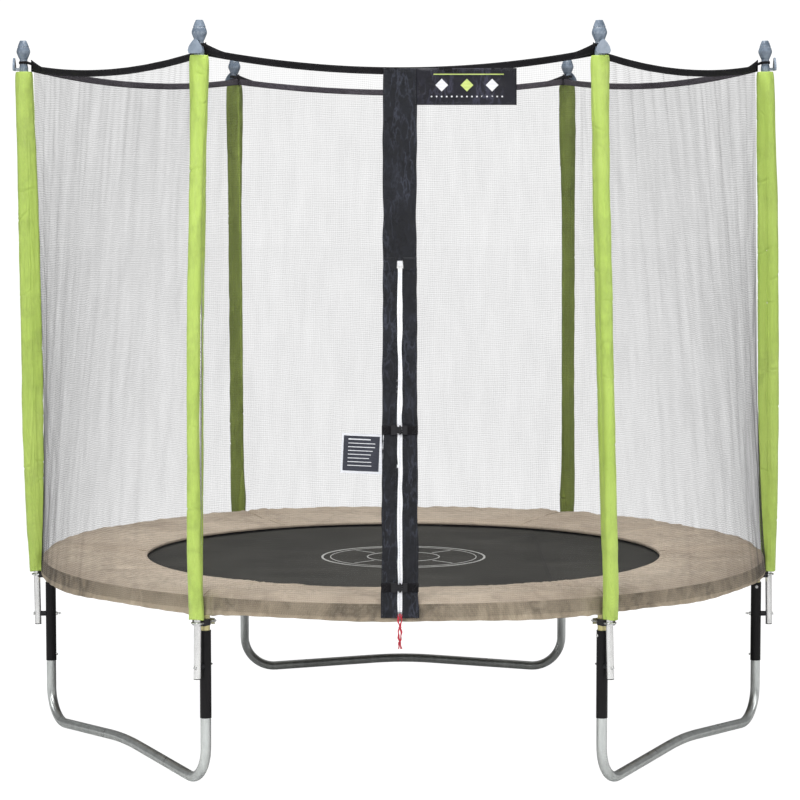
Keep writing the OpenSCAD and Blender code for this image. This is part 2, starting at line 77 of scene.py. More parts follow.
# ------------------------------------------------------------------ small maths
def wave_noise(p, scale, seed, n=20):
    """Smooth noise of about unit size: a sum of plane waves in fixed random directions."""
    p = np.asarray(p, float)
    shape = p.shape[:-1]
    q = p.reshape(-1, 3)
    rng = np.random.default_rng(seed)
    k = rng.normal(size=(n, 3))
    k /= np.linalg.norm(k, axis=1)[:, None]
    f = np.asarray(scale, float) * (0.55 + 1.1 * rng.random(n))
    ph = rng.random(n) * 2 * PI
    a = 0.4 + rng.random(n)
    out = np.zeros(len(q))
    for j in range(n):
        out += a[j] * np.sin(2 * PI * f[j] * (q @ k[j]) + ph[j])
    return (out / math.sqrt(0.5 * (a ** 2).sum())).reshape(shape)


def crease(p, scale, seed, sharp=1.0):
    """Thin ridges: high along the zero lines of a smooth noise."""
    return np.exp(-np.abs(wave_noise(p, scale, seed)) * 3.0 * sharp)


def smooth(x, a, b):
    t = np.clip((np.asarray(x, float) - a) / (b - a), 0, 1)
    return t * t * (3 - 2 * t)


def lin(r, g, b, k=1.0):
    def f(c):
        c = c / 255.0
        return c / 12.92 if c <= 0.04045 else ((c + 0.055) / 1.055) ** 2.4
    return (f(r) * k, f(g) * k, f(b) * k, 1.0)


# ------------------------------------------------------------------ meshes
def make(name, verts, faces, mat, body=None, replaces=(), slot=None, smooth_shade=True, matrix=None):
    me = bpy.data.meshes.new(name)
    v = np.asarray(verts, float)
    if matrix is not None:
        m = np.array(matrix)
        v = v @ m[:3, :3].T + m[:3, 3]
    me.from_pydata(v.tolist(), [], faces if isinstance(faces, list) else faces.tolist())
    me.validate()
    if smooth_shade:
        me.polygons.foreach_set("use_smooth", np.ones(len(me.polygons), bool))
    me.materials.append(mat)
    me.update()
    ob = bpy.data.objects.new(name, me)
    bpy.context.scene.collection.objects.link(ob)
    if body:
        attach(ob, body)
    if replaces:
        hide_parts(*replaces)
    return ob


def grid_faces(m, n, wrap_m=False, wrap_n=False, base=0):
    """Quads of an m by n grid of vertices, row after row."""
    i = np.arange(m if wrap_m else m - 1)[:, None]
    j = np.arange(n if wrap_n else n - 1)[None, :]
    i2, j2 = (i + 1) % m, (j + 1) % n
    a, b, c, d = i * n + j, i * n + j2, i2 * n + j2, i2 * n + j
    return np.stack([a, b, c, d], -1).reshape(-1, 4) + base


class Heap:
    """Gathers many small closed shapes into one mesh."""

    def __init__(self):
        self.v, self.f, self.n = [], [], 0

    def add(self, v, f):
        v = np.asarray(v, float).reshape(-1, 3)
        self.v.append(v)
        self.f += [tuple(int(x) + self.n for x in q) for q in f]
        self.n += len(v)

    def make(self, name, mat, **kw):
        return make(name, np.vstack(self.v), self.f, mat, **kw)


def frames(path, closed=False, up=None):
    """Tangent, side and normal at each point of a path; the normal keeps near `up` if it is given."""
    p = np.asarray(path, float)
    if closed:
        t = np.roll(p, -1, 0) - np.roll(p, 1, 0)
    else:
        t = np.gradient(p, axis=0)
    t /= np.linalg.norm(t, axis=1)[:, None] + 1e-15
    if up is not None:
        u = np.broadcast_to(np.asarray(up, float), p.shape)
        n = u - (u * t).sum(1)[:, None] * t
        n /= np.linalg.norm(n, axis=1)[:, None] + 1e-15
    else:
        n = np.zeros_like(p)
        ref = np.array([0, 0, 1.0]) if abs(t[0][2]) < 0.9 else np.array([1.0, 0, 0])
        cur = ref - ref @ t[0] * t[0]
        cur /= np.linalg.norm(cur)
        for i in range(len(p)):
            cur = cur - cur @ t[i] * t[i]
            cur /= np.linalg.norm(cur)
            n[i] = cur
    return t, np.cross(t, n), n


def sweep(path, section, closed=False, up=None, scale=None):
    """Closed sweep of a closed 2-D section (side, normal) along a path."""
    p = np.asarray(path, float)
    s = np.asarray(section, float)
    t, b, n = frames(p, closed, up)
    if s.ndim == 2:
        s = np.broadcast_to(s, (len(p),) + s.shape)
    if scale is not None:
        s = s * np.asarray(scale, float)[:, None, None]
    v = p[:, None, :] + s[..., 0:1] * b[:, None, :] + s[..., 1:2] * n[:, None, :]
    m, k = len(p), s.shape[1]
    f = grid_faces(m, k, closed, True).tolist()
    if not closed:
        f.append(list(range(k))[::-1])
        f.append([(m - 1) * k + j for j in range(k)])
    return v.reshape(-1, 3), f


def circle(r, k=10):
    a = np.arange(k) * 2 * PI / k
    return np.stack([r * np.cos(a), r * np.sin(a)], 1)


def strap_section(w, t, k=3):
    """Flat webbing section with rounded edges, width along the side axis."""
    r = t / 2
    a = np.linspace(-PI / 2, PI / 2, k + 2)
    right = np.stack([w / 2 - r + r * np.cos(a), r * np.sin(a)], 1)
    left = -right
    mid = np.array([[w / 4, r], [0, r], [-w / 4, r]])
    return np.vstack([right, mid, left, -mid])


def sheet(P, N, th):
    """Closed thin sheet: P (m, n, 3) is the outer face, N its outward direction, th its thickness."""
    P = np.asarray(P, float)
    N = np.broadcast_to(np.asarray(N, float), P.shape)
    m, n = P.shape[:2]
    edge = np.zeros((m, n))
    edge[0, :] = edge[-1, :] = edge[:, 0] = edge[:, -1] = 1
    a = P - N * (th * 0.22 * edge)[..., None]
    b = P - N * th + N * (th * 0.22 * edge)[..., None]
    v = np.vstack([a.reshape(-1, 3), b.reshape(-1, 3)])
    f = grid_faces(m, n).tolist()
    K = m * n
    f += [[q[3] + K, q[2] + K, q[1] + K, q[0] + K] for q in f]
    ring = [j for j in range(n)] + [i * n + n - 1 for i in range(1, m)] + [(m - 1) * n + j for j in range(n - 2, -1, -1)] + [i * n for i in range(m - 2, 0, -1)]
    for a_, b_ in zip(ring, ring[1:] + ring[:1]):
        f.append([b_, a_, a_ + K, b_ + K])
    return v, f


BOXF = [[0, 1, 3, 2], [4, 6, 7, 5], [0, 4, 5, 1], [2, 3, 7, 6], [0, 2, 6, 4], [1, 5, 7, 3]]


def boxes(C, A, B, D):
    """Many small boxes: centres C and half-extent vectors A, B, D, all (n, 3)."""
    C, A, B, D = [np.broadcast_to(np.asarray(x, float), np.asarray(C).shape) for x in (C, A, B, D)]
    v = np.stack([C + sa * A + sb * B + sd * D for sa in (-1, 1) for sb in (-1, 1) for sd in (-1, 1)], 1)
    n = len(C)
    f = (np.array(BOXF)[None] + (np.arange(n) * 8)[:, None, None]).reshape(-1, 4)
    return v.reshape(-1, 3), f.tolist()


def stitches(path, normal, pitch=0.0045, length=0.0028, width=0.0007, height=0.0005, closed=False):
    """A row of small thread stitches along a path that lies on a surface."""
    p = np.asarray(path, float)
    nrm = np.broadcast_to(np.asarray(normal, float), p.shape)
    if closed:
        p, nrm = np.vstack([p, p[:1]]), np.vstack([nrm, nrm[:1]])
    seg = np.linalg.norm(np.diff(p, axis=0), axis=1)
    s = np.concatenate([[0], np.cumsum(seg)])
    q = np.arange(pitch / 2, s[-1], pitch)
    c = np.stack([np.interp(q, s, p[:, k]) for k in range(3)], 1)
    n = np.stack([np.interp(q, s, nrm[:, k]) for k in range(3)], 1)
    n /= np.linalg.norm(n, axis=1)[:, None] + 1e-12
    a = np.stack([np.interp(np.clip(q + 1e-3, 0, s[-1]), s, p[:, k]) - np.interp(np.clip(q - 1e-3, 0, s[-1]), s, p[:, k]) for k in range(3)], 1)
    a /= np.linalg.norm(a, axis=1)[:, None] + 1e-12
    b = np.cross(a, n)
    # six-sided spindle: low ends, raised middle
    L, W, H = length / 2, width / 2, height
    v = np.stack([c - a * L, c - a * L * 0.4 + b * W, c - a * L * 0.4 + n * H, c - a * L * 0.4 - b * W,
                  c + a * L * 0.4 + b * W, c + a * L * 0.4 + n * H, c + a * L * 0.4 - b * W, c + a * L], 1)
    F = [[0, 2, 1], [0, 3, 2], [0, 1, 3], [1, 2, 5, 4], [2, 3, 6, 5], [3, 1, 4, 6], [7, 4, 5], [7, 5, 6], [7, 6, 4]]
    out = []
    for k in range(len(c)):
        out += [[i + 8 * k for i in q_] for q_ in F]
    return v.reshape(-1, 3), out


def pole_matrix(i):
    a = i * PI / 3
    return (Matrix.Translation((POLE_R * math.cos(a), POLE_R * math.sin(a), CLAMP_LO))
            @ Matrix.Rotation(math.atan(LEAN[i] / LEAN_SPAN), 4, "Y")
            @ Matrix.Translation((0, 0, -CLAMP_LO)))


# ------------------------------------------------------------------ materials
def new_mat(name):
    m = bpy.data.materials.new(name)
    m.use_nodes = True
    m.node_tree.nodes.clear()
    return m, m.node_tree


def N(nt, kind, ins=None, **props):
    n = nt.nodes.new(kind)
    for k, v in props.items():
        setattr(n, k, v)
    for k, v in (ins or {}).items():
        s = n.inputs[k]
        if isinstance(v, bpy.types.NodeSocket):
            nt.links.new(v, s)
        else:
            s.default_value = v
    return n


def math_(nt, op, a, b=0.0, clamp=False):
    return N(nt, "ShaderNodeMath", {0: a, 1: b}, operation=op, use_clamp=clamp).outputs[0]


def mix_col(nt, fac, a, b, kind="MIX"):
    n = N(nt, "ShaderNodeMix", data_type="RGBA", blend_type=kind)
    for idx, v in ((0, fac), (6, a), (7, b)):
        if isinstance(v, bpy.types.NodeSocket):
            nt.links.new(v, n.inputs[idx])
        else:
            n.inputs[idx].default_value = v
    return n.outputs[2]


def coords(nt, scale=(1, 1, 1)):
    tc = N(nt, "ShaderNodeTexCoord")
    return N(nt, "ShaderNodeMapping", {"Vector": tc.outputs["Object"], "Scale": scale}).outputs[0]


def noise(nt, vec, scale, detail=3.0, rough=0.55):
    return N(nt, "ShaderNodeTexNoise", {"Vector": vec, "Scale": scale, "Detail": detail, "Roughness": rough}).outputs["Fac"]


def ramp(nt, fac, stops):
    r = N(nt, "ShaderNodeValToRGB", {"Fac": fac})
    el = r.color_ramp.elements
    while len(el) < len(stops):
        el.new(0.5)
    for e_, (p, c) in zip(el, stops):
        e_.position = p
        e_.color = c if len(c) == 4 else (*c, 1)
    return r.outputs["Color"]


def threads(nt, pitch, axes="XYZ"):
    """Woven relief without UVs: crossing sine ribs along the object's axes."""
    co = coords(nt)
    out = None
    for ax in axes:
        w = N(nt, "ShaderNodeTexWave", {"Vector": co, "Scale": 2 * PI / (20 * pitch), "Distortion": 0.0}, wave_type="BANDS", bands_direction=ax, wave_profile="SIN").outputs["Fac"]
        out = w if out is None else math_(nt, "MULTIPLY", math_(nt, "ADD", out, w), 0.5)
    return out


def principled(nt, base, rough, bump=None, strength=0.3, dist=0.001, metallic=0.0, sheen=0.0, coat=0.0, spec=0.5, normal=None, sub=0.0):
    ins = {"Base Color": base, "Roughness": rough, "Metallic": metallic, "Specular IOR Level": spec, "Sheen Weight": sheen, "Coat Weight": coat}
    b = N(nt, "ShaderNodeBsdfPrincipled", ins)
    if bump is not None:
        bn = N(nt, "ShaderNodeBump", {"Height": bump, "Strength": strength, "Distance": dist})
        if normal is not None:
            nt.links.new(normal, bn.inputs["Normal"])
        nt.links.new(bn.outputs[0], b.inputs["Normal"])
    return b


def finish_mat(nt, shader):
    N(nt, "ShaderNodeOutputMaterial", {"Surface": shader})


def cloth_mat(name, dark, light, pitch=0.0012, rough=0.75, weave=0.45, sheen=0.15, wrinkle=0.0, wrinkle_scale=40.0, spec=0.3, blotch=6.0, sub=0.0, coat=0.0, relief=0.0012, painted_crease_light=None):
    """Woven cloth: colour drifts between dark and light, threads in relief, fine wrinkles, and optionally painted
    highlights on crease ridges with painted shade in the folds.
    """
    m, nt = new_mat(name)
    co = coords(nt)
    th = threads(nt, pitch)
    big = noise(nt, co, blotch, 4.0, 0.6)
    fine = noise(nt, co, 420.0, 2.0)
    k = math_(nt, "ADD", math_(nt, "MULTIPLY", big, 0.7), math_(nt, "MULTIPLY", fine, 0.3))
    col = ramp(nt, k, [(0.32, dark), (0.68, light)])
    shade = math_(nt, "ADD", math_(nt, "MULTIPLY", th, 0.35), 0.80)
    col = mix_col(nt, 1.0, col, N(nt, "ShaderNodeCombineColor", {0: shade, 1: shade, 2: shade}).outputs[0], "MULTIPLY")
    h = math_(nt, "MULTIPLY", th, weave * 0.0012 / relief)
    if wrinkle:
        w = N(nt, "ShaderNodeTexNoise", {"Vector": co, "Scale": wrinkle_scale, "Detail": 5.0, "Roughness": 0.62, "Distortion": 0.6}, noise_type="RIDGED_MULTIFRACTAL").outputs["Fac"]
        h = math_(nt, "ADD", h, math_(nt, "MULTIPLY", w, wrinkle))
    if painted_crease_light:
        # thin slanting ridges with a painted highlight and the folds between them with painted shade, both multiplied
        # into the colour; the same ridges also go into the bump
        sc_, lo_, hi_, thin = painted_crease_light

        def ridge(off, k_, stretch):
            mp = N(nt, "ShaderNodeMapping", {"Vector": co, "Location": (off, off * 0.7, -off), "Rotation": (0.0, 0.45, 0.0), "Scale": stretch}).outputs[0]
            n_ = noise(nt, mp, sc_, 3.0, 0.55)
            e_ = math_(nt, "MULTIPLY", math_(nt, "ABSOLUTE", math_(nt, "SUBTRACT", n_, 0.5)), k_)
            g_ = ramp(nt, noise(nt, mp, sc_ * 0.45, 2.0), [(0.40, (0, 0, 0)), (0.58, (1, 1, 1))])
            return math_(nt, "MULTIPLY", math_(nt, "MAXIMUM", math_(nt, "SUBTRACT", 1.0, e_), 0.0), N(nt, "ShaderNodeRGBToBW", {0: g_}).outputs[0])
        up = ridge(3.0, thin, (1.25, 1, 0.42))
        painted_fold_shade = ridge(11.0, thin * 0.7, (0.8, 0.8, 0.8))
        painted_light_gain = math_(nt, "ADD", math_(nt, "ADD", math_(nt, "MULTIPLY", up, hi_ - 1.0), 1.0), math_(nt, "MULTIPLY", painted_fold_shade, lo_ - 1.0))
        painted_light_gain = math_(nt, "MAXIMUM", painted_light_gain, 0.15)
        col = mix_col(nt, 1.0, col, N(nt, "ShaderNodeCombineXYZ", {0: painted_light_gain, 1: painted_light_gain, 2: painted_light_gain}).outputs[0], "MULTIPLY")
        h = math_(nt, "ADD", h, math_(nt, "MULTIPLY", math_(nt, "SUBTRACT", up, painted_fold_shade), 0.5))
    r = math_(nt, "ADD", math_(nt, "MULTIPLY", big, 0.12), rough - 0.06)
    b = principled(nt, col, r, h, 0.6, relief, sheen=sheen, spec=spec, coat=coat)
    finish_mat(nt, b.outputs[0])
    return m


def vinyl_mat(name, dark, light, rough=0.42, grain=900.0, spec=0.5, coat=0.1):
    """Coated cloth: fine pebble grain, soft crumple, a little gloss that varies, colour a little darker where the
    relief is low.
    """
    m, nt = new_mat(name)
    co = coords(nt)
    v = N(nt, "ShaderNodeTexVoronoi", {"Vector": co, "Scale": grain}, feature="SMOOTH_F1").outputs["Distance"]
    big = noise(nt, co, 3.2, 5.0, 0.6)
    mid = noise(nt, co, 26.0, 5.0, 0.62)
    col = ramp(nt, math_(nt, "ADD", math_(nt, "MULTIPLY", big, 0.75), math_(nt, "MULTIPLY", mid, 0.25)), [(0.34, dark), (0.66, light)])
    speck = ramp(nt, noise(nt, co, 160.0, 3.0), [(0.28, (0.72, 0.72, 0.72)), (0.40, (1, 1, 1))])
    col = mix_col(nt, 0.35, col, speck, "MULTIPLY")
    h = math_(nt, "ADD", math_(nt, "MULTIPLY", v, 0.35), math_(nt, "MULTIPLY", mid, 0.9))
    r = math_(nt, "ADD", math_(nt, "MULTIPLY", mid, 0.25), rough - 0.12)
    finish_mat(nt, principled(nt, col, r, h, 0.35, 0.0015, spec=spec, coat=coat).outputs[0])
    return m


def metal_mat(name, dark, light, rough=0.38, streak=(60, 60, 3), spangle=0.25, metallic=0.85, wear=None, spec=0.5):
    """Drawn or plated steel: long streaks, faint spangle, smudges and small pits."""
    m, nt = new_mat(name)
    co = coords(nt)
    st = noise(nt, coords(nt, streak), 1.0, 4.0, 0.6)
    vo = N(nt, "ShaderNodeTexVoronoi", {"Vector": co, "Scale": 130.0}, feature="F1").outputs["Color"]
    sp = N(nt, "ShaderNodeSeparateColor", {0: vo}).outputs[0]
    sm = noise(nt, co, 14.0, 5.0, 0.62)
    k = math_(nt, "ADD", math_(nt, "MULTIPLY", st, 0.6), math_(nt, "ADD", math_(nt, "MULTIPLY", sp, spangle * 0.5), math_(nt, "MULTIPLY", sm, 0.4 - spangle * 0.2)))
    col = ramp(nt, k, [(0.30, dark), (0.70, light)])
    if wear:
        edge = ramp(nt, N(nt, "ShaderNodeNewGeometry").outputs["Pointiness"], [(0.50, (0, 0, 0)), (0.58, (1, 1, 1))])
        scr = ramp(nt, noise(nt, co, 90.0, 4.0), [(0.52, (0, 0, 0)), (0.62, (1, 1, 1))])
        col = mix_col(nt, math_(nt, "MULTIPLY", N(nt, "ShaderNodeRGBToBW", {0: edge}).outputs[0], N(nt, "ShaderNodeRGBToBW", {0: scr}).outputs[0]), col, wear)
    r = math_(nt, "ADD", math_(nt, "MULTIPLY", st, 0.22), rough - 0.10)
    pit = noise(nt, co, 700.0, 2.0)
    h = math_(nt, "ADD", math_(nt, "MULTIPLY", st, 0.4), math_(nt, "MULTIPLY", pit, 0.10))
    finish_mat(nt, principled(nt, col, r, h, 0.12, 0.0006, metallic=metallic, spec=spec).outputs[0])
    return m


def plastic_mat(name, dark, light, rough=0.35, coat=0.15, spec=0.5):
    m, nt = new_mat(name)
    co = coords(nt)
    a = noise(nt, co, 45.0, 4.0)
    b = noise(nt, co, 1400.0, 2.0)
    col = ramp(nt, a, [(0.3, dark), (0.7, light)])
    edge = ramp(nt, N(nt, "ShaderNodeNewGeometry").outputs["Pointiness"], [(0.50, (0, 0, 0)), (0.62, (1, 1, 1))])
    col = mix_col(nt, math_(nt, "MULTIPLY", N(nt, "ShaderNodeRGBToBW", {0: edge}).outputs[0], 0.35), col, (light[0] * 1.5 + 0.02, light[1] * 1.5 + 0.02, light[2] * 1.5 + 0.02, 1))
    r = math_(nt, "ADD", math_(nt, "MULTIPLY", a, 0.2), rough - 0.1)
    finish_mat(nt, principled(nt, col, r, b, 0.15, 0.0004, coat=coat, spec=spec).outputs[0])
    return m


def net_mat(name, a=0.150, power=0.95, col=(0.060, 0.060, 0.062, 1), turn=0.0):
    """Fine knitted net, dark yarn: open square mesh close up, and more closed the flatter it is looked along."""
    m, nt = new_mat(name)
    tc = N(nt, "ShaderNodeTexCoord")
    co = N(nt, "ShaderNodeMapping", {"Vector": tc.outputs["Object"], "Rotation": (0, 0, -turn)}).outputs[0]
    lay = N(nt, "ShaderNodeLayerWeight", {"Blend": 0.5}).outputs["Facing"]      # 1 - |cos|
    cosv = math_(nt, "MAXIMUM", math_(nt, "SUBTRACT", 1.0, lay), 0.06)
    expo = math_(nt, "POWER", cosv, -power)
    sx = N(nt, "ShaderNodeSeparateXYZ", {0: co})
    px, pz = sx.outputs["X"], sx.outputs["Z"]
    w1 = math_(nt, "MULTIPLY", math_(nt, "SUBTRACT", noise(nt, co, 3.0, 3.0), 0.5), 0.030)
    w2 = math_(nt, "MULTIPLY", math_(nt, "SUBTRACT", noise(nt, co, 4.3, 3.0), 0.5), 0.030)
    u = math_(nt, "MULTIPLY", math_(nt, "ADD", px, w1), PI / 0.0056)
    w = math_(nt, "MULTIPLY", math_(nt, "ADD", pz, w2), PI / 0.0056)
    au = math_(nt, "ABSOLUTE", math_(nt, "SINE", u))
    aw = math_(nt, "ABSOLUTE", math_(nt, "SINE", w))
    row = ramp(nt, aw, [(0.10, (1, 1, 1)), (0.34, (0, 0, 0))])
    colm = ramp(nt, au, [(0.08, (1, 1, 1)), (0.26, (0, 0, 0))])
    k = math_(nt, "ADD", math_(nt, "MULTIPLY", N(nt, "ShaderNodeRGBToBW", {0: row}).outputs[0], 3.0), math_(nt, "MULTIPLY", N(nt, "ShaderNodeRGBToBW", {0: colm}).outputs[0], 2.2))
    knit = math_(nt, "ADD", math_(nt, "MULTIPLY", k, 0.55), 0.50)
    tone = ramp(nt, noise(nt, coords(nt, (1, 1, 0.22)), 24.0, 5.0, 0.65), [(0.25, (0.72, 0.72, 0.72)), (0.75, (1.28, 1.28, 1.28))])
    dens = math_(nt, "MULTIPLY", knit, N(nt, "ShaderNodeRGBToBW", {0: tone}).outputs[0])
    depth = math_(nt, "MULTIPLY", math_(nt, "MULTIPLY", dens, -math.log(1 - a)), expo)
    alpha = math_(nt, "SUBTRACT", 1.0, math_(nt, "EXPONENT", math_(nt, "MULTIPLY", depth, -1.0)), True)
    dif = N(nt, "ShaderNodeBsdfDiffuse", {"Color": col})
    tr = N(nt, "ShaderNodeBsdfTranslucent", {"Color": (col[0] * 0.8, col[1] * 0.8, col[2] * 0.8, 1)})
    yarn = N(nt, "ShaderNodeMixShader", {0: 0.35, 1: dif.outputs[0], 2: tr.outputs[0]})
    mx = N(nt, "ShaderNodeMixShader", {0: alpha, 1: N(nt, "ShaderNodeBsdfTransparent").outputs[0], 2: yarn.outputs[0]})
    finish_mat(nt, mx.outputs[0])
    return m


M = {}
M["rail"] = metal_mat("rail_steel", lin(160, 162, 160), lin(208, 210, 207), 0.36, (24, 24, 24), 0.10)
M["leg"] = metal_mat("leg_steel", lin(184, 188, 186), lin(222, 226, 223), 0.30, (40, 40, 4), 0.02)
M["pole"] = metal_mat("pole_steel", lin(214, 214, 212), lin(244, 244, 242), 0.26, (150, 150, 2.0), 0.06)
M["yellow"] = metal_mat("zinc_yellow", lin(200, 190, 128), lin(230, 222, 172), 0.38, (60, 60, 5), 0.1, metallic=0.6)
M["black"] = metal_mat("black_paint", lin(17, 16, 17), lin(29, 28, 29), 0.30, (90, 90, 3), 0.02, metallic=0.0, spec=0.16)
M["bright"] = metal_mat("bright_hardware", lin(165, 166, 165), lin(226, 227, 225), 0.28, (200, 200, 200), 0.15)
M["spring"] = metal_mat("spring_steel", lin(120, 121, 121), lin(200, 201, 200), 0.30, (400, 400, 400), 0.1)
M["blackpl"] = plastic_mat("black_plastic", lin(15, 15, 17), lin(30, 30, 33), 0.42, coat=0.03, spec=0.2)
M["cap"] = plastic_mat("cap_plastic", lin(84, 96, 110), lin(124, 136, 150), 0.30, coat=0.2, spec=0.4)
M["zipmetal"] = metal_mat("zip_metal", lin(140, 140, 142), lin(214, 214, 216), 0.28, (300, 300, 300), 0.1)
# the last setting tuple of the foam, pad, skirt, banner and door cloths paints highlights on crease ridges and shade in
# the folds (scale, fold shade, highlight, sharpness)
M["foam"] = cloth_mat("lime_fabric", lin(168, 196, 84), lin(184, 208, 104), 0.0009, 0.46, 0.22, 0.06, 1.0, 13.0, spec=0.40, blotch=3.0, coat=0.05, relief=0.004, painted_crease_light=(11.0, 0.86, 1.07, 16.0))
# painted shade: a darker copy of the lime fabric for the two back sleeves, standing for the weaker light they get
M["foamback"] = cloth_mat("lime_fabric_painted_shade", lin(122, 137, 64), lin(144, 159, 80), 0.0009, 0.55, 0.22, 0.03, 1.0, 13.0, spec=0.2, blotch=3.0, relief=0.004, painted_crease_light=(11.0, 0.80, 1.25, 14.0))
M["foamseam"] = cloth_mat("lime_seam", lin(140, 176, 58), lin(166, 198, 82), 0.0009, 0.6, 0.5, 0.1)
M["pad"] = cloth_mat("pad_vinyl", lin(170, 154, 136), lin(208, 193, 174), 0.0021, 0.66, 0.8, 0.04, 1.0, 9.0, spec=0.2, blotch=2.2, relief=0.004, painted_crease_light=(10.0, 0.84, 1.07, 16.0))
M["padskirt"] = cloth_mat("pad_skirt_vinyl", lin(142, 129, 110), lin(180, 166, 145), 0.0021, 0.66, 0.8, 0.04, 2.4, 12.0, spec=0.2, blotch=5.0, relief=0.004, painted_crease_light=(15.0, 0.52, 1.22, 11.0))
# painted light: a lighter copy of the black webbing for the three back bands, standing for the net's veil in front of
# them
M["webbingback"] = cloth_mat("black_webbing_painted_lighter", lin(54, 50, 56), lin(84, 80, 86), 0.0016, 0.70, 0.9, 0.02, spec=0.10)
M["webbing"] = cloth_mat("black_webbing", lin(16, 15, 17), lin(32, 31, 34), 0.0016, 0.70, 0.9, 0.02, spec=0.10)
M["thread"] = cloth_mat("thread", lin(150, 136, 118), lin(180, 166, 148), 0.0006, 0.8, 0.5)
M["threaddark"] = cloth_mat("thread_dark", lin(44, 44, 48), lin(66, 66, 72), 0.0006, 0.8, 0.5)
M["mat"] = cloth_mat("mat_weave", lin(50, 49, 46), lin(70, 69, 65), 0.0022, 0.70, 1.0, 0.02, blotch=3.0, spec=0.10)
M["matline"] = cloth_mat("mat_print", lin(168, 168, 164), lin(206, 206, 202), 0.0022, 0.7, 0.8)
for k, turn in ((0, 2 * PI / 3), (1, 0.0), (2, PI / 3)):
    M["net%d" % k] = net_mat("net_mesh_%d" % k, turn=turn)
M["elastic"] = cloth_mat("elastic_cord", lin(15, 15, 16), lin(30, 30, 32), 0.0012, 0.65, 0.9, 0.02, spec=0.1)
M["cordwhite"] = cloth_mat("cord_white", lin(196, 198, 200), lin(232, 233, 235), 0.0010, 0.7, 0.9)
# the banner's crinkle streaks are painted highlights: bright ridge lines multiplied into the dark colour
M["banner"] = cloth_mat("banner_cloth", lin(14, 14, 20), lin(32, 32, 42), 0.0010, 0.34, 0.5, 0.02, 1.8, 16.0, spec=0.25, relief=0.004, painted_crease_light=(30.0, 0.7, 3.2, 16.0))
M["motif"] = cloth_mat("banner_motif", lin(176, 198, 96), lin(204, 220, 132), 0.0010, 0.6, 0.5)
M["motif2"] = cloth_mat("banner_motif_pale", lin(206, 208, 212), lin(232, 233, 236), 0.0010, 0.6, 0.5)
# the door cloth's crinkle streaks are painted highlights: bright ridge lines multiplied into the dark colour
M["door"] = cloth_mat("door_cloth", lin(16, 17, 21), lin(30, 32, 39), 0.0009, 0.30, 0.3, 0.02, 3.4, 15.0, spec=0.20, relief=0.004, painted_crease_light=(40.0, 0.6, 3.6, 17.0))
M["zip"] = cloth_mat("zip_white", lin(244, 246, 250), lin(254, 254, 255), 0.0010, 0.6, 0.3)
M["zipcoil"] = plastic_mat("zip_coil", lin(238, 240, 245), lin(252, 252, 254), 0.3)
M["label"] = cloth_mat("label_cloth", lin(50, 52, 60), lin(70, 72, 82), 0.0009, 0.6, 0.4, 0.02, spec=0.15)
M["labelink"] = cloth_mat("label_print", lin(206, 208, 214), lin(232, 234, 238), 0.0009, 0.6, 0.4)
M["red"] = cloth_mat("red_ribbon", lin(158, 18, 40), lin(204, 38, 62), 0.0011, 0.5, 0.7, 0.3)

# ------------------------------------------------------------------ carried-over CAD nodes
CARRY = {"rail": ["top_rail_%d" % k for k in range(1, 7)],
         "leg": ["w_leg_left", "w_leg_right", "w_leg_back"],
         "yellow": ["leg_sockets"], "black": ["leg_extensions"],
         "bright": ["leg_screws", "clamp_u_bolts", "clamp_plates", "clamp_nuts", "clamp_bolts"] + ["leg_button_%d" % k for k in range(1, 7)],
         "spring": ["button_springs"], "pole": ["poles_lower", "poles_upper"],
         "blackpl": ["pole_plugs", "clamp_blocks", "clamp_spacers", "buckle_sockets", "buckle_plugs"],
         "cap": ["pole_cap_%d" % k for k in range(1, 7)], "zipmetal": ["zip_slider"]}
for key, names in CARRY.items():
    for n in names:
        o = NODES[n]
        o.data.materials.clear()
        o.data.materials.append(M[key])


# ------------------------------------------------------------------ net
def cap_point(i):
    i %= 6
    a = i * PI / 3
    return np.array([NET_R1 * math.cos(a) + LEAN[i] * (NET_Z1 - CLAMP_LO) / LEAN_SPAN, NET_R1 * math.sin(a)])


def net_point(i, t, v):
    t, v = np.broadcast_arrays(np.asarray(t, float), np.asarray(v, float))
    a = (i + t) * PI / 3
    lo = np.stack([NET_R0 * np.cos(a), NET_R0 * np.sin(a), np.full_like(a, NET_Z0)], -1)
    p, q = cap_point(i), cap_point(i + 1)
    xy = p + (q - p) * t[..., None]
    hi = np.concatenate([xy, (NET_Z1 - SAGS[i] * 4 * t * (1 - t))[..., None]], -1)
    P = lo * (1 - v[..., None]) + hi * v[..., None]
    # beside a pole the net is drawn in a little between its foot and its top
    bow = np.interp(P[..., 2], [0.56, 0.65, 0.765, 1.10, 1.44, 1.78, 2.05], [0, 0.0040, 0.0080, 0.0096, 0.0070, 0.0034, 0]) * np.exp(-np.minimum(t, 1 - t) * 9)
    r = np.hypot(P[..., 0], P[..., 1])
    P[..., :2] *= (1 - bow / r)[..., None]
    return P


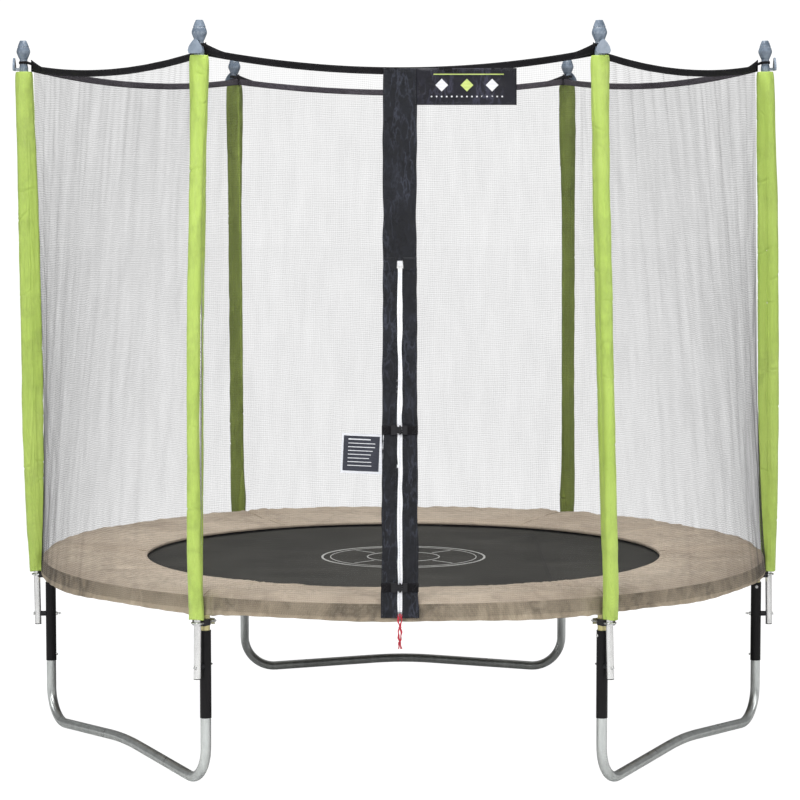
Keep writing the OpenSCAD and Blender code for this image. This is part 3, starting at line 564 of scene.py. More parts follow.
def net_relief(P, i, t, v):
    """How far the slack net stands off its flat shape, in metres: pull lines from the corners and soft upright folds."""
    a = (i + 0.5) * PI / 3
    u = P @ np.array([-math.sin(a), math.cos(a), 0])
    z = P[..., 2]
    q = np.stack([u * 11 + z * 0.7, z * 0.9, np.full_like(u, 3.1 * i)], -1)
    fine = np.stack([u * 34 - z * 1.5, z * 1.6, np.full_like(u, 1.7 * i)], -1)
    top = np.exp(-(1 - v) * 5.0)
    near = np.exp(-np.minimum(t, 1 - t) * 9)
    r = 0.0011 * wave_noise(q, 1.0, 11 + i) + 0.00028 * wave_noise(fine, 1.0, 31 + i)
    # gathers under the hem and at the foot
    g = np.sin(2 * PI * (u / 0.052 + 0.35 * wave_noise(q, 0.3, 51 + i)))
    r = r + g * (0.0011 * top + 0.0013 * np.exp(-v * 16))
    # diagonal pull lines that run from the pole tops
    d = np.stack([(u * np.sign(0.5 - t) + z * 0.55) * 16, (z - u) * 0.3, u * 0], -1)
    r = r + 0.0010 * wave_noise(d, 1.0, 71 + i) * near
    edge = smooth(np.minimum(t, 1 - t), 0.0, 0.03)
    r = r * edge
    foot = np.exp(-(z - NET_Z0) / 0.030)
    return r * (1 - foot) + (0.0007 + np.abs(r) * 0.5) * foot * smooth(np.minimum(t, 1 - t), 0.0, 0.01)


def net_panel(name, i, t0, t1, nt_, nv_, mat, v0=0.0, v1=1.0, off=0.0):
    t, v = np.meshgrid(np.linspace(t0, t1, nt_), np.linspace(v0, v1, nv_))
    P = net_point(i, t, v)
    a = (i + 0.5) * PI / 3
    out = np.array([math.cos(a), math.sin(a), 0])
    rel = net_relief(P, i, t, v) + off
    return P + rel[..., None] * out, t, v


for i in (0, 1, 2, 3, 5):
    n_u, n_v = ((150, 220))
    P, t, v = net_panel("p", i, 0.0, 1.0, n_u, n_v, None)
    ob = make("net_panel_%d" % (i + 1), P.reshape(-1, 3), grid_faces(n_v, n_u), M["net%d" % (i % 3)], body="frame", slot="net_mesh")
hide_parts("safety_net")


def half_w(z):
    return (0.101 + 0.009 * (-z) / ZIP_LEN) / 2


def swing_weight(P, side):
    """How much a point of the front net follows its half of the door: all of it at the strip, none near the pole and above the zip."""
    x = P[..., 0] - DOOR_X
    zl = (P - P0) @ UP
    d = x * side - half_w(np.minimum(zl, 0))
    plateau = 0.03 + 0.13 * smooth(-zl, 0.35, 0.50) * smooth(-zl, 0.80, 0.65)
    span = 0.12 + 0.30 * np.clip(-zl, 0, 2)
    w = 1 - smooth(d, plateau, plateau + span)
    return w * smooth(-zl, 0.0, 0.10)


def set_weights(ob, b, w):
    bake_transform(ob)
    ob.data.update()


T_MID = (DOOR_X - cap_point(4)[0]) / (cap_point(5)[0] - cap_point(4)[0])
for side, nm, body, node in ((-1, "left", "door_left", "net_flap_left"), (1, "right", "door_right", "net_flap_right")):
    n_u, n_v = ((110, 240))
    s = np.linspace(0, 1, n_u)
    v = np.linspace(0, 1, n_v)
    V, S = np.meshgrid(v, s, indexing="ij")
    # the inner edge runs upright at the zip
    t_in = T_MID + (1 - V) * 0.0
    low_in = np.full_like(V, (360 - math.degrees(math.acos(DOOR_X / NET_R0)) - 240) / 60)
    t_in = low_in * (1 - V) + T_MID * V
    T = t_in * S if side < 0 else t_in + (1 - t_in) * S
    P = net_point(4, T, V)
    P = P + (net_relief(P, 4, T, V) * smooth(np.abs(T - t_in), 0.0, 0.12))[..., None] * np.array([0, -1.0, 0])
    # the middle of the panel lies flat in the door's plane and a little out of the ends
    d = (P - P0) @ OUT
    near = (1 - smooth(np.abs(P[..., 0] - DOOR_X), 0.05, 0.16)) * smooth(ZIP_TOP + 0.62 - P[..., 2], 0.0, 0.1)
    P = P + ((0.0022 - d) * near)[..., None] * OUT
    ob = make("net_front_%s" % nm, P.reshape(-1, 3), grid_faces(n_v, n_u), M["net1"], replaces=(node,), slot="net_mesh")
    set_weights(ob, body, swing_weight(P, side))

# top band of webbing with its turned edge and stitches, one piece per panel
for i in range(6):
    n_u = 120
    t = np.linspace(0.0, 1.0, n_u)
    base = net_point(i, t, np.ones_like(t))
    a = (i + 0.5) * PI / 3
    out = np.array([math.cos(a), math.sin(a), 0])
    rows = []
    zz = np.linspace(-0.0015, 0.0200, 9)
    for z in zz:
        q = base.copy()
        q[:, 2] += z
        wob = 0.0007 * wave_noise(np.stack([t * 9, t * 0 + z * 25, t * 0 + i], -1), 1.0, 90) + 0.00045 * np.sin(2 * PI * t * 44 + i)
        rows.append(q + out * (0.0026 + wob[:, None] * np.array([1, 1, 0])))
    P = np.stack(rows)
    h = Heap()
    h.add(*sheet(P, out, 0.0030))
    # the three back bands get the painted-lighter copy of the webbing
    ob = h.make("net_hem_%d" % (i + 1), M["webbingback" if i in (0, 1, 2) else "webbing"], body="frame", replaces=("net_hem",) if i == 0 else (), slot="black_webbing")
    st = Heap()
    for row in (1, 7):
        st.add(*stitches(P[row] + out * 0.0001, out, 0.006, 0.0038, 0.0009, 0.0005))
    st.make("net_hem_stitch_%d" % (i + 1), M["threaddark"], body="frame", slot="black_webbing")

# webbing loops round the cap necks, with a tail sewn to the band; the foot cord runs hidden in the pad's hem
loops = Heap()
stl = Heap()
for i in range(6):
    mx = np.array(pole_matrix(i))
    a = i * PI / 3
    er, et = np.array([math.cos(a), math.sin(a), 0]), np.array([-math.sin(a), math.cos(a), 0])
    ph = np.linspace(-PI * 0.80, PI * 0.80, 40)
    ring = [0.0150 * (math.cos(p) * er + math.sin(p) * et) for p in ph]
    tail = [np.array(ring[-1]) + s_ * (-er * 0.030 + -et * 0.008 + np.array([0, 0, -0.010])) for s_ in (0.35, 0.7, 1.0)]
    head = [np.array(ring[0]) + s_ * (-er * 0.030 + et * 0.008 + np.array([0, 0, -0.010])) for s_ in (1.0, 0.7, 0.35)]
    path = np.array(head + ring + tail) + np.array([0, 0, 2.2395])
    v, f = sweep(path, strap_section(0.0085, 0.0018)[:, ::-1], up=None) if False else (None, None)
    t_, b_, n_ = frames(path, up=(0, 0, 1))
    sec = strap_section(0.0090, 0.0018)
    vv = path[:, None, :] + sec[:, 0][None, :, None] * n_[:, None, :] + sec[:, 1][None, :, None] * b_[:, None, :]
    k = len(sec)
    ff = grid_faces(len(path), k, False, True).tolist() + [list(range(k))[::-1], [(len(path) - 1) * k + j for j in range(k)]]
    w = vv.reshape(-1, 3) @ mx[:3, :3].T + mx[:3, 3]
    loops.add(w, ff)
    # corner gusset of each band, rising to the neck of the cap
    for q_, ts in ((i, np.linspace(-0.008, 0.050, 12)), ((i - 1) % 6, np.linspace(1.008, 0.950, 12))):
        aa = (q_ + 0.5) * PI / 3
        nn = np.array([math.cos(aa), math.sin(aa), 0])
        base = net_point(q_, ts, np.ones_like(ts))
        rise = 0.018 * (1 - np.linspace(0, 1, 12)) ** 1.3
        rows = np.stack([base + nn * 0.0042 + np.array([0, 0, 1]) * (-0.0015 + (0.0215 + rise) * f_)[:, None] for f_ in np.linspace(0, 1, 5)])
        loops.add(*sheet(rows, nn, 0.0018))
        stl.add(*stitches(rows[1], nn, 0.005, 0.0032, 0.0008, 0.0005))
loops.make("net_loops", M["webbing"], body="frame", replaces=("net_elastics",), slot="elastic_cord")
stl.make("net_corner_stitch", M["threaddark"], body="frame", slot="elastic_cord")
# ------------------------------------------------------------------ foam sleeves
# section of a sleeve: a round core and a narrower tail towards the net, by height:
# height, reach outward, reach inward, core radius, tail radius
SECTION = np.array([[0.520, 22.5, 20.3, 22.4, 20.2], [0.560, 24.0, 20.3, 23.0, 20.0], [0.650, 29.0, 25.0, 23.0, 17.0], [0.765, 33.5, 30.0, 20.0, 10.0],
                    [1.100, 36.5, 34.0, 17.0, 6.5], [1.440, 36.0, 34.0, 17.5, 7.0], [1.780, 34.5, 33.0, 19.5, 9.0], [2.050, 31.0, 30.0, 25.0, 18.0],
                    [2.150, 30.0, 29.6, 29.0, 27.0], [2.210, 30.0, 29.6, 29.5, 29.0]]) * [1, 0.001, 0.001, 0.001, 0.001]


def section_radius(theta, row, fat):
    """Distance from the pole's axis to the outline of the core and tail, along each direction theta."""
    _, ro, ri, rc, rt_ = row
    rc, rt_ = min(rc * fat, ro), min(rt_ * fat, ri)
    ph = np.linspace(-PI, PI, 721)
    hgt = np.maximum((ro - rc) * np.cos(ph) + rc, -(ri - rt_) * np.cos(ph) + rt_)
    c = np.cos(theta[:, None] - ph[None, :])
    return np.where(c > 0.05, hgt[None, :] / np.maximum(c, 0.05), 1e9).min(1)


# how far each sleeve hangs to one side of its pole, mm, from foot to top
HANG = [[0, 0, 0, 1, 3, 3.5, 4, 4.5, 2, 0], [0] * 10, [0] * 10, [0, 0, 0, 0, 1, 2, 2.5, 3, 1, 0], [-2.5, -5, -4.8, -5.6, -6.4, -6.8, -6, -1, 0, 0], [3, 4, 0.5, -1, -2, -2.5, -5, -6, -3, 0]]
for i in range(6):
    n_a, n_z = ((120, 520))
    z = np.linspace(0.520, 2.209, n_z)
    ph = np.arange(n_a) * 2 * PI / n_a
    Z, A = np.meshgrid(z, ph, indexing="ij")
    fat = 1.28 if i in (1, 2) else 1.0
    keys = np.stack([section_radius(ph - i * PI / 3, row, fat) for row in SECTION])
    zs = smooth(np.linspace(0, 1, 2), 0, 1)
    R = np.stack([np.interp(z, SECTION[:, 0], keys[:, j]) for j in range(n_a)], 1)
    kern = np.ones(15) / 15
    pad_ = np.vstack([R[:1]] * 7 + [R] + [R[-1:]] * 7)
    R = np.stack([np.convolve(pad_[:, j], kern, "valid") for j in range(n_a)], 1)
    # the core is sewn off from the tail, which leaves a groove down each side
    mid = smooth(Z, 0.62, 0.80) * smooth(2.12 - Z, 0.0, 0.15)
    for sgn in (-1, 1):
        dd = (A - i * PI / 3 - sgn * 1.95 + PI) % (2 * PI) - PI
        R -= 0.0016 * mid * np.exp(-(dd / 0.11) ** 2)
    # the flat inner wad folds round the pole with one sharp turn towards the front
    dd = np.abs((A + PI / 2 - 0.34 + PI) % (2 * PI) - PI)
    R += 0.0042 * (1 - np.minimum(np.sqrt(dd ** 2 + 0.004), 0.95) / 0.95) * smooth(Z, 0.525, 0.60) * smooth(2.209 - Z, 0.0, 0.06)
    ca = np.stack([np.cos(A), np.sin(A), Z * 2.5], -1)
    # long dents, short cross creases and soft lumps
    R += 0.00060 * wave_noise(np.stack([np.cos(A) * 0.7, np.sin(A) * 0.7, Z * 2.0 + 7 * i], -1), 1.0, 200 + i)
    R += 0.00045 * wave_noise(np.stack([np.cos(A) * 1.6, np.sin(A) * 1.6, Z * 9 + 3 * i], -1), 1.0, 220 + i)
    # slanting crumples, strongest towards the foot
    R -= 0.0022 * crease(np.stack([np.cos(A) * 0.9, np.sin(A) * 0.9, Z * 7 + 2 * A + i], -1), 1.0, 240 + i, 2.2) * (0.45 + 0.55 * smooth(1.1 - Z, 0, 0.4))
    rng = np.random.default_rng(400 + i)
    for _ in range(15):
        zc, ac, wd = 0.54 + 1.64 * rng.random(), rng.random() * 2 * PI, 0.35 + 0.9 * rng.random()
        lean_ = (rng.random() - 0.5) * 0.05
        d = Z - zc - lean_ * np.sin(A - ac)
        da = np.abs((A - ac + PI) % (2 * PI) - PI)
        R -= (0.0012 + 0.0020 * rng.random()) * np.exp(-(d / 0.0035) ** 2) * np.exp(-(da / wd) ** 2)
        R += 0.0006 * np.exp(-((d - 0.008) / 0.006) ** 2) * np.exp(-(da / wd) ** 2)
    # sewn closing seam on the side away from the front
    seam_at = (i * PI / 3 + PI) % (2 * PI)
    R += 0.0012 * np.exp(-(((A - seam_at + PI) % (2 * PI) - PI) / 0.05) ** 2)
    # the open lower end flares and hangs uneven; the upper end is drawn in under the cap
    low = np.exp(-(Z - 0.520) / 0.012)
    R += low * 0.0009 * np.sin(3 * A + i)
    R -= 0.0035 * np.exp(-(2.209 - Z) / 0.010)
    Zs = Z + np.exp(-(Z - 0.520) / 0.05) * 0.0022 * (np.sin(2 * A + 1.3 * i) + 1) * 0.8
    hang_x = np.interp(Z, [0.53, 0.60, 0.71, 0.89, 1.10, 1.19, 1.44, 1.78, 2.05, 2.2], HANG[i]) * 0.001
    P = np.stack([R * np.cos(A) + hang_x, R * np.sin(A), Zs], -1)
    # turned-in ends
    bot = []
    for k, (rr_, dz) in enumerate(((0.86, 0.0006), (0.72, 0.004), (0.62, 0.012), (0.60, 0.030))):
        q = P[0].copy()
        q[:, :2] *= rr_
        q[:, 2] += dz
        bot.append(q)
    top = []
    for k, rr_ in enumerate((0.92, 0.78, 0.6, 0.45)):
        q = P[-1].copy()
        q[:, :2] *= rr_
        q[:, 2] = 2.209 - 0.0002 * k
        top.append(q)
    full = np.vstack([np.stack(bot[::-1]), P, np.stack(top)])
    f = grid_faces(len(full), n_a, False, True).tolist()
    f += [list(range(n_a))[::-1], [(len(full) - 1) * n_a + j for j in range(n_a)]]
    # the two back sleeves get the painted-shade copy of the lime fabric
    make("foam_sleeve_%d" % (i + 1), full.reshape(-1, 3), f, M["foamback" if i in (1, 2) else "foam"], body="frame", replaces=("foam_sleeves",) if i == 0 else (), slot="lime_fabric", matrix=pole_matrix(i))
    # seam thread and the folded lower hem
    h = Heap()
    j = int(round(seam_at / (2 * PI) * n_a)) % n_a
    er = np.array([math.cos(ph[j]), math.sin(ph[j]), 0])
    et = np.array([-er[1], er[0], 0])
    for off in (-0.0042, 0.0042):
        h.add(*stitches(P[6:-6, j] + et * off - er * 0.00025, er, 0.0065, 0.0042, 0.0009, 0.0006))
    ring = P[max(3, n_z // 90)]
    rn = ring * [1, 1, 0]
    rn /= np.linalg.norm(rn, axis=1)[:, None]
    h.add(*stitches(ring + rn * 0.0001, rn, 0.0055, 0.0036, 0.0008, 0.0005, closed=True))
    h.make("foam_thread_%d" % (i + 1), M["foamseam"], body="frame", slot="lime_fabric", matrix=pole_matrix(i))

# ------------------------------------------------------------------ safety pad
# outer face of the padded ring from its inner edge, over the top, down the skirt, and back underneath
PROFILE = np.array([[0.8680, 0.5800], [0.8676, 0.5830], [0.8690, 0.5868], [0.8720, 0.5888], [0.8860, 0.5920], [0.9050, 0.5945], [0.9300, 0.5966], [0.9600, 0.5985],
                    [0.9900, 0.6000], [1.0200, 0.6014], [1.0500, 0.6030], [1.0800, 0.6046], [1.1100, 0.6063], [1.1400, 0.6082], [1.1650, 0.6094], [1.1820, 0.6092],
                    [1.1950, 0.6080], [1.2045, 0.6050], [1.2105, 0.6002], [1.2138, 0.5945], [1.2152, 0.5885], [1.2159, 0.5840], [1.2168, 0.5760], [1.2176, 0.5690],
                    [1.2184, 0.5620], [1.2190, 0.5555], [1.2193, 0.5500], [1.2200, 0.5462], [1.2207, 0.5440], [1.2202, 0.5418], [1.2184, 0.5408], [1.2166, 0.5418],
                    [1.2160, 0.5440], [1.2170, 0.5470], [1.2177, 0.5510], [1.2176, 0.5570], [1.21725, 0.5630], [1.21722, 0.5665], [1.2164, 0.5725], [1.2146, 0.5800],
                    [1.2134, 0.5850], [1.2000, 0.5856], [1.1780, 0.5850], [1.1400, 0.5830], [1.1000, 0.5806], [1.0600, 0.5782], [1.0000, 0.5771],
                    [0.9400, 0.5763], [0.8900, 0.5757], [0.8720, 0.5759], [0.8690, 0.5770]])
SK0, SK1 = 20, 40       # the skirt's part of the profile


def dense(profile, k):
    out = []
    for a_, b_ in zip(profile, np.roll(profile, -1, 0)):
        for s_ in range(k):
            out.append(a_ + (b_ - a_) * s_ / k)
    return np.array(out)


SIM = {}


def simulate_segment():
    """One sixth of the pad as stuffed cloth, held at its seams; gives how far its top moved, on a grid of radius and angle."""
    span, inset = PI / 3, 0.0022
    n_a = 60
    prof = np.array(PROFILE[:21].tolist() + [[1.2145, 0.5862]] + PROFILE[41:].tolist())
    c = prof.mean(0)
    a = np.linspace(-span / 2, span / 2, n_a)
    shr = prof + (c - prof) * 0.0
    # start a little thin, so that the pressure can fill it
    mid = 0.5910 + (prof[:, 0] - 0.868) * 0.012
    shr[:, 1] = mid + (prof[:, 1] - mid) * 0.80
    P = np.stack([np.stack([r * np.cos(a), r * np.sin(a), np.full_like(a, z)], -1) for r, z in shr])
    m, n = P.shape[:2]
    f = grid_faces(m, n, True, False).tolist()
    f += [[i * n for i in range(m)], [i * n + n - 1 for i in range(m)][::-1]]
    ob = make("pad_sim", P.reshape(-1, 3), f, M["pad"])
    bpy.context.view_layer.objects.active = ob
    ob.select_set(True)
    rm = ob.modifiers.new("r", "REMESH")
    rm.mode = "VOXEL"
    rm.voxel_size = 0.006
    bpy.ops.object.modifier_apply(modifier="r")
    me = ob.data
    co = np.empty(len(me.vertices) * 3)
    me.vertices.foreach_get("co", co)
    co = co.reshape(-1, 3)
    rest = co.copy()
    ra, th = np.hypot(co[:, 0], co[:, 1]), np.arctan2(co[:, 1], co[:, 0])
    pin = ob.vertex_groups.new(name="pin")
    held = (np.abs(th) > span / 2 - 0.010) | ((ra > 1.17) & (co[:, 2] < 0.588))
    tie = (np.abs(ra - 1.176) < 0.012) & (np.abs(np.abs(th) - PI / 12) < 0.012) & (co[:, 2] < 0.592)
    pin.add(np.nonzero(held | tie)[0].tolist(), 1.0, "REPLACE")
    soft = (ra < 0.880)
    pin.add(np.nonzero(soft & ~held)[0].tolist(), 0.25, "REPLACE")
    cl = ob.modifiers.new("cloth", "CLOTH")
    s = cl.settings
    s.quality = 5
    s.mass = 0.25
    s.tension_stiffness = 18
    s.compression_stiffness = 10
    s.shear_stiffness = 6
    s.bending_stiffness = 0.35
    s.use_pressure = True
    s.uniform_pressure_force = 4.0
    s.vertex_group_mass = "pin"
    s.effector_weights.gravity = 0.0
    s.shrink_min = -0.06
    cl.collision_settings.use_collision = False
    sc = bpy.context.scene
    sc.frame_start, sc.frame_end = 1, 20
    cl.point_cache.frame_start, cl.point_cache.frame_end = 1, 20
    for fr in range(1, 21):
        sc.frame_set(fr)
    dg = bpy.context.evaluated_depsgraph_get()
    ev = ob.evaluated_get(dg)
    out = np.empty(len(me.vertices) * 3)
    ev.data.vertices.foreach_get("co", out)
    out = out.reshape(-1, 3)
    d = out - rest
    ln = np.linalg.norm(d, axis=1)
    cap = 0.010
    d *= np.minimum(1, cap / np.maximum(ln, 1e-9))[:, None]
    sc.frame_set(1)
    data = (ra, th, rest, d)
    bpy.data.objects.remove(ob)
    bpy.data.meshes.remove(me)
    # gather the vertical move of the upper face on a grid
    topside = rest[:, 2] > 0.5905 + (ra - 0.868) * 0.012
    gr, ga = 44, 200
    acc, cnt = np.zeros((gr, ga)), np.zeros((gr, ga))
    ir = np.clip(((ra - 0.866) / (1.220 - 0.866) * gr).astype(int), 0, gr - 1)
    ia = np.clip(((th + span / 2) / span * ga).astype(int), 0, ga - 1)
    sel = topside
    np.add.at(acc, (ir[sel], ia[sel]), d[sel, 2])
    np.add.at(cnt, (ir[sel], ia[sel]), 1)
    g = np.where(cnt > 0, acc / np.maximum(cnt, 1), np.nan)
    for row in g:
        ok = ~np.isnan(row)
        if ok.any():
            row[~ok] = np.interp(np.nonzero(~ok)[0], np.nonzero(ok)[0], row[ok])
        else:
            row[:] = 0
    return g


def sim_lookup(g, r, a):
    gr, ga = g.shape
    x = np.clip((r - 0.866) / (1.220 - 0.866) * gr - 0.5, 0, gr - 1.001)
    y = np.clip((a + PI / 6) / (PI / 3) * ga - 0.5, 0, ga - 1.001)
    i, j = x.astype(int), y.astype(int)
    u, w = x - i, y - j
    return (g[i, j] * (1 - u) * (1 - w) + g[i + 1, j] * u * (1 - w) + g[i, j + 1] * (1 - u) * w + g[i + 1, j + 1] * u * w)


SIMGRID = None
SIMGRID = simulate_segment()
SIMGRID = SIMGRID - np.median(SIMGRID)

n_a = 1440
prof = dense(PROFILE, 2)
ang = np.arange(n_a) * 2 * PI / n_a
A, K = np.meshgrid(ang, np.arange(len(prof)), indexing="ij")
Rr, Zz = prof[K, 0], prof[K, 1]
tang = np.roll(prof, -1, 0) - np.roll(prof, 1, 0)
tang /= np.linalg.norm(tang, axis=1)[:, None]
nrm2 = np.stack([-tang[:, 1], tang[:, 0]], 1)
if (nrm2[len(PROFILE) // 4] @ np.array([0, 1.0])) < 0:
    nrm2 = -nrm2
Nr, Nz = nrm2[K, 0], nrm2[K, 1]
da6 = ((A + PI / 6) % (PI / 3)) - PI / 6                      # angle from the nearest pole
seam = np.abs(da6)
topw = smooth(Zz, 0.586, 0.597) * (Nz > 0.1)
X0, Y0 = Rr * np.cos(A), Rr * np.sin(A)
P3 = np.stack([X0, Y0, Zz], -1)
h = np.zeros_like(Rr)
# stuffed segments: full between the seams, pulled down at each seam with gathers that fan out of it
h -= 0.0060 * np.exp(-(seam / 0.010) ** 2) * topw * smooth(Rr, 0.868, 0.90)
h += 0.0012 * np.sin(da6 * 210 + 3 * wave_noise(P3, 3.0, 300)) * np.exp(-seam / 0.10) * topw
h += 0.00135 * wave_noise(P3 * [1, 1, 0], 5.0, 301) * topw
h += 0.00075 * wave_noise(P3 * [1, 1, 0], 14.0, 302) * topw
h -= 0.0016 * crease(P3 * [1, 1, 0] + 3, 4.0, 303, 3.0) * topw
# radial puckers of the outer roll and of the inner edge
rad = wave_noise(np.stack([A * 12, Rr * 3, A * 0], -1), 1.0, 304)
h += 0.0011 * rad * topw * smooth(Rr, 1.12, 1.20)
pu = np.sin(A * 132 + 2.2 * wave_noise(np.stack([A * 3, A * 0, A * 0], -1), 1.0, 305))
h += 0.00055 * pu * np.exp(-np.abs(Rr - 0.885) / 0.016) * topw
# stitch channel along the inner edge and along the outer roll
h -= 0.0016 * np.exp(-((Rr - 0.888) / 0.0035) ** 2) * topw
h -= 0.0011 * np.exp(-((Rr - 1.2045) / 0.0030) ** 2) * (Zz > 0.600)
if SIMGRID is not None:
    wob = wave_noise(np.stack([A * 0.9, A * 0, A * 0], -1), 1.0, 306)
    mirror = np.where((np.floor((A + PI / 6) / (PI / 3)) % 2) > 0, -1.0, 1.0)
    h += np.clip(sim_lookup(SIMGRID, Rr, da6 * mirror), -0.006, 0.006) * topw * (0.9 + 0.25 * wob)
# the skirt hangs in shallow folds, free at the bottom
kk = np.arange(len(prof))
step = len(prof) // len(PROFILE)
is_sk = (kk >= SK0 * step) & (kk < SK1 * step)
outer = is_sk & (kk < 30 * step)
fold = np.sin(A * 96 + 1.5 * wave_noise(np.stack([A * 2.2, A * 0, A * 0], -1), 1.0, 307)) * 0.5 + wave_noise(np.stack([A * 14, A * 0, A * 0], -1), 1.0, 308)
free = smooth(0.566 - Zz, 0.0, 0.020) * is_sk[None, :]
cr = crease(np.stack([A * 7, Zz * 26, A * 0], -1), 1.0, 309, 2.5)
shift_r = free * (0.0004 + 0.0005 * fold) + outer[None, :] * (0.00035 * np.sin(A * 131 + 40 * Zz) - 0.0006 * cr)
hang = wave_noise(np.stack([A * 1.6, A * 0, A * 0], -1), 1.0, 310)
near = np.minimum(np.abs(da6), 1.0)
gather = np.exp(-(near / 0.075) ** 2)
dz = -free * (0.0022 + 0.0034 * np.maximum(hang, -0.5) + 0.0012 * np.abs(np.sin(A * 48 + 0.5)) + gather * (0.0035 + 0.0020 * np.sin(A * 170)))
shift_r -= outer[None, :] * gather * 0.0011 * (0.5 + 0.5 * np.sin(A * 230 + 90 * Zz))
Rn = Rr + Nr * h + shift_r
Zn = Zz + Nz * h + dz
V = np.stack([Rn * np.cos(A), Rn * np.sin(A), Zn], -1)
pad = make("frame_pad_cushion", V.reshape(-1, 3), grid_faces(n_a, len(prof), True, True), M["pad"], body="frame", replaces=("frame_pad",), slot="pad_vinyl")
skirt_slot = M["padskirt"]
pad.data.materials.append(skirt_slot)
mi = np.zeros((n_a, len(prof)), np.int32)
mi[:, :] = is_sk[None, :]
pad.data.polygons.foreach_set("material_index", mi.ravel())
bpy.context.view_layer.update()


def pad_ring(radius):
    """Points of the pad's top at one radius, all the way round."""
    k = int(np.argmin(np.abs(prof[:, 0] - radius) + (nrm2[:, 1] < 0.2) * 10))
    return V[:, k, :], np.stack([nrm2[k, 0] * np.cos(ang), nrm2[k, 0] * np.sin(ang), np.full_like(ang, nrm2[k, 1])], 1)


h_ = Heap()
for radius in (0.886, 1.2045):
    p_, q_ = pad_ring(radius)
    h_.add(*stitches(p_ + q_ * 0.0001, q_, 0.0060, 0.0040, 0.0009, 0.0006, closed=True))
# seams across the pad at the poles: a raised welt with a stitch line each side
welt = Heap()
top_k = [k for k in range(len(prof)) if nrm2[k, 1] > 0.12 and 0.869 < prof[k, 0] < 1.2150]
for s_ in range(6):
    j = int(round(s_ * n_a / 6)) % n_a
    line = V[j, top_k, :]
    nl = np.stack([nrm2[top_k, 0] * math.cos(ang[j]), nrm2[top_k, 0] * math.sin(ang[j]), nrm2[top_k, 1]], 1)
    welt.add(*sweep(line + nl * 0.0004, circle(0.0016, 8)))
    et = np.array([-math.sin(ang[j]), math.cos(ang[j]), 0])
    for off in (-4, 4):
        jj = (j + off * 1) % n_a
        h_.add(*stitches(V[jj, top_k, :] + nl * 0.0001, nl, 0.0060, 0.0040, 0.0009, 0.0006))
welt.make("pad_welts", M["padskirt"], body="frame", slot="pad_vinyl")
# skirt hem thread
k = int(np.argmin(np.abs(prof[:, 1] - 0.5510) + (~outer) * 10))
en = np.stack([np.cos(ang), np.sin(ang), 0 * ang], 1)
h_.add(*stitches(V[:, k, :] + en * 0.0001, en, 0.0070, 0.0046, 0.0009, 0.0005, closed=True))
k = int(np.argmin(np.abs(prof[:, 1] - 0.5790) + (~outer) * 10))
h_.add(*stitches(V[:, k, :] + en * 0.0001, en, 0.0070, 0.0046, 0.0009, 0.0005, closed=True))
h_.make("pad_thread", M["thread"], body="frame", slot="pad_vinyl")

# webbing ties round the rail
ties, tth = Heap(), Heap()
for k in range(12):
    a = math.radians(15 + 30 * k)
    er, et = np.array([math.cos(a), math.sin(a), 0]), np.array([-math.sin(a), math.cos(a), 0])
    ph = np.linspace(0, PI, 25)
    pts = [(1.2136, 0.5800), (1.2150, 0.5735)] + [(RAIL_R + 0.0176 * math.cos(p), RAIL_Z - 0.0176 * math.sin(p)) for p in ph] + [(1.1832, 0.5730), (1.1834, 0.5800), (1.1860, 0.5842)]
    path = np.array([er * min(r, 1.2146) + np.array([0, 0, z]) for r, z in pts])
    cen = er * RAIL_R + np.array([0, 0, RAIL_Z + 0.004])
    t_, _, _ = frames(path, up=et)
    nn = np.cross(et, t_)
    nn = np.where(((path - cen) * nn).sum(1)[:, None] > 0, nn, -nn)
    sec = strap_section(0.025, 0.0014)
    vv = path[:, None, :] + sec[:, 0][None, :, None] * et + sec[:, 1][None, :, None] * nn[:, None, :]
    kk = len(sec)
    ties.add(vv.reshape(-1, 3), grid_faces(len(path), kk, False, True).tolist() + [list(range(kk))[::-1], [(len(path) - 1) * kk + j for j in range(kk)]])
    for off in (-0.010, 0.010):
        tth.add(*stitches(path[4:-4] + et * off + nn[4:-4] * 0.0008, nn[4:-4], 0.0045, 0.003, 0.0008, 0.0005))
ties.make("pad_ties", M["webbing"], body="frame", replaces=("pad_straps",), slot="black_webbing")
tth.make("pad_tie_thread", M["threaddark"], body="frame", slot="black_webbing")


# ------------------------------------------------------------------ jumping bed
def bed_weight(P):
    """Share of the mat's drop that a point takes: the bed dishes, and the springs tilt from the rail."""
    r = np.hypot(P[..., 0], P[..., 1])
    inner = 0.45 + 0.55 * (1 - smooth(r, 0.12, MAT_R)) ** 1.2
    outer = 0.45 * np.clip((1.190 - r) / (1.190 - MAT_R), 0, 1)
    return np.where(r < MAT_R, inner, outer)


n_r, n_a2 = ((90, 288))
r_ = np.concatenate([[0.004], np.linspace(0, 1, n_r)[1:] ** 0.9 * MAT_R])
a_ = np.arange(n_a2) * 2 * PI / n_a2
Rm, Am = np.meshgrid(r_, a_, indexing="ij")
Pm = np.stack([Rm * np.cos(Am), Rm * np.sin(Am), np.full_like(Rm, MAT_Z)], -1)
Pm[..., 2] += (0.0006 * wave_noise(Pm, 3.5, 500) - 0.0010) * smooth(MAT_R - Rm, 0.0, 0.06)
Pm[..., 2] += 0.0008 * np.cos(Am * 48) * smooth(Rm, 0.95, MAT_R)
seam_x = 0.470
Pm[..., 2] += 0.0009 * np.exp(-((Pm[..., 0] - seam_x) / 0.006) ** 2)
under = Pm[::-1].copy()
under[..., 2] -= 0.0024
ring_all = np.vstack([Pm, under])
f = grid_faces(len(ring_all), n_a2, False, True).tolist()
f += [list(range(n_a2))[::-1], [(len(ring_all) - 1) * n_a2 + j for j in range(n_a2)]]
bed = make("jump_mat_weave", ring_all.reshape(-1, 3), f, M["mat"], replaces=("jump_mat",), slot="mat_weave")
set_weights(bed, "mat", bed_weight(ring_all.reshape(-1, 3)))

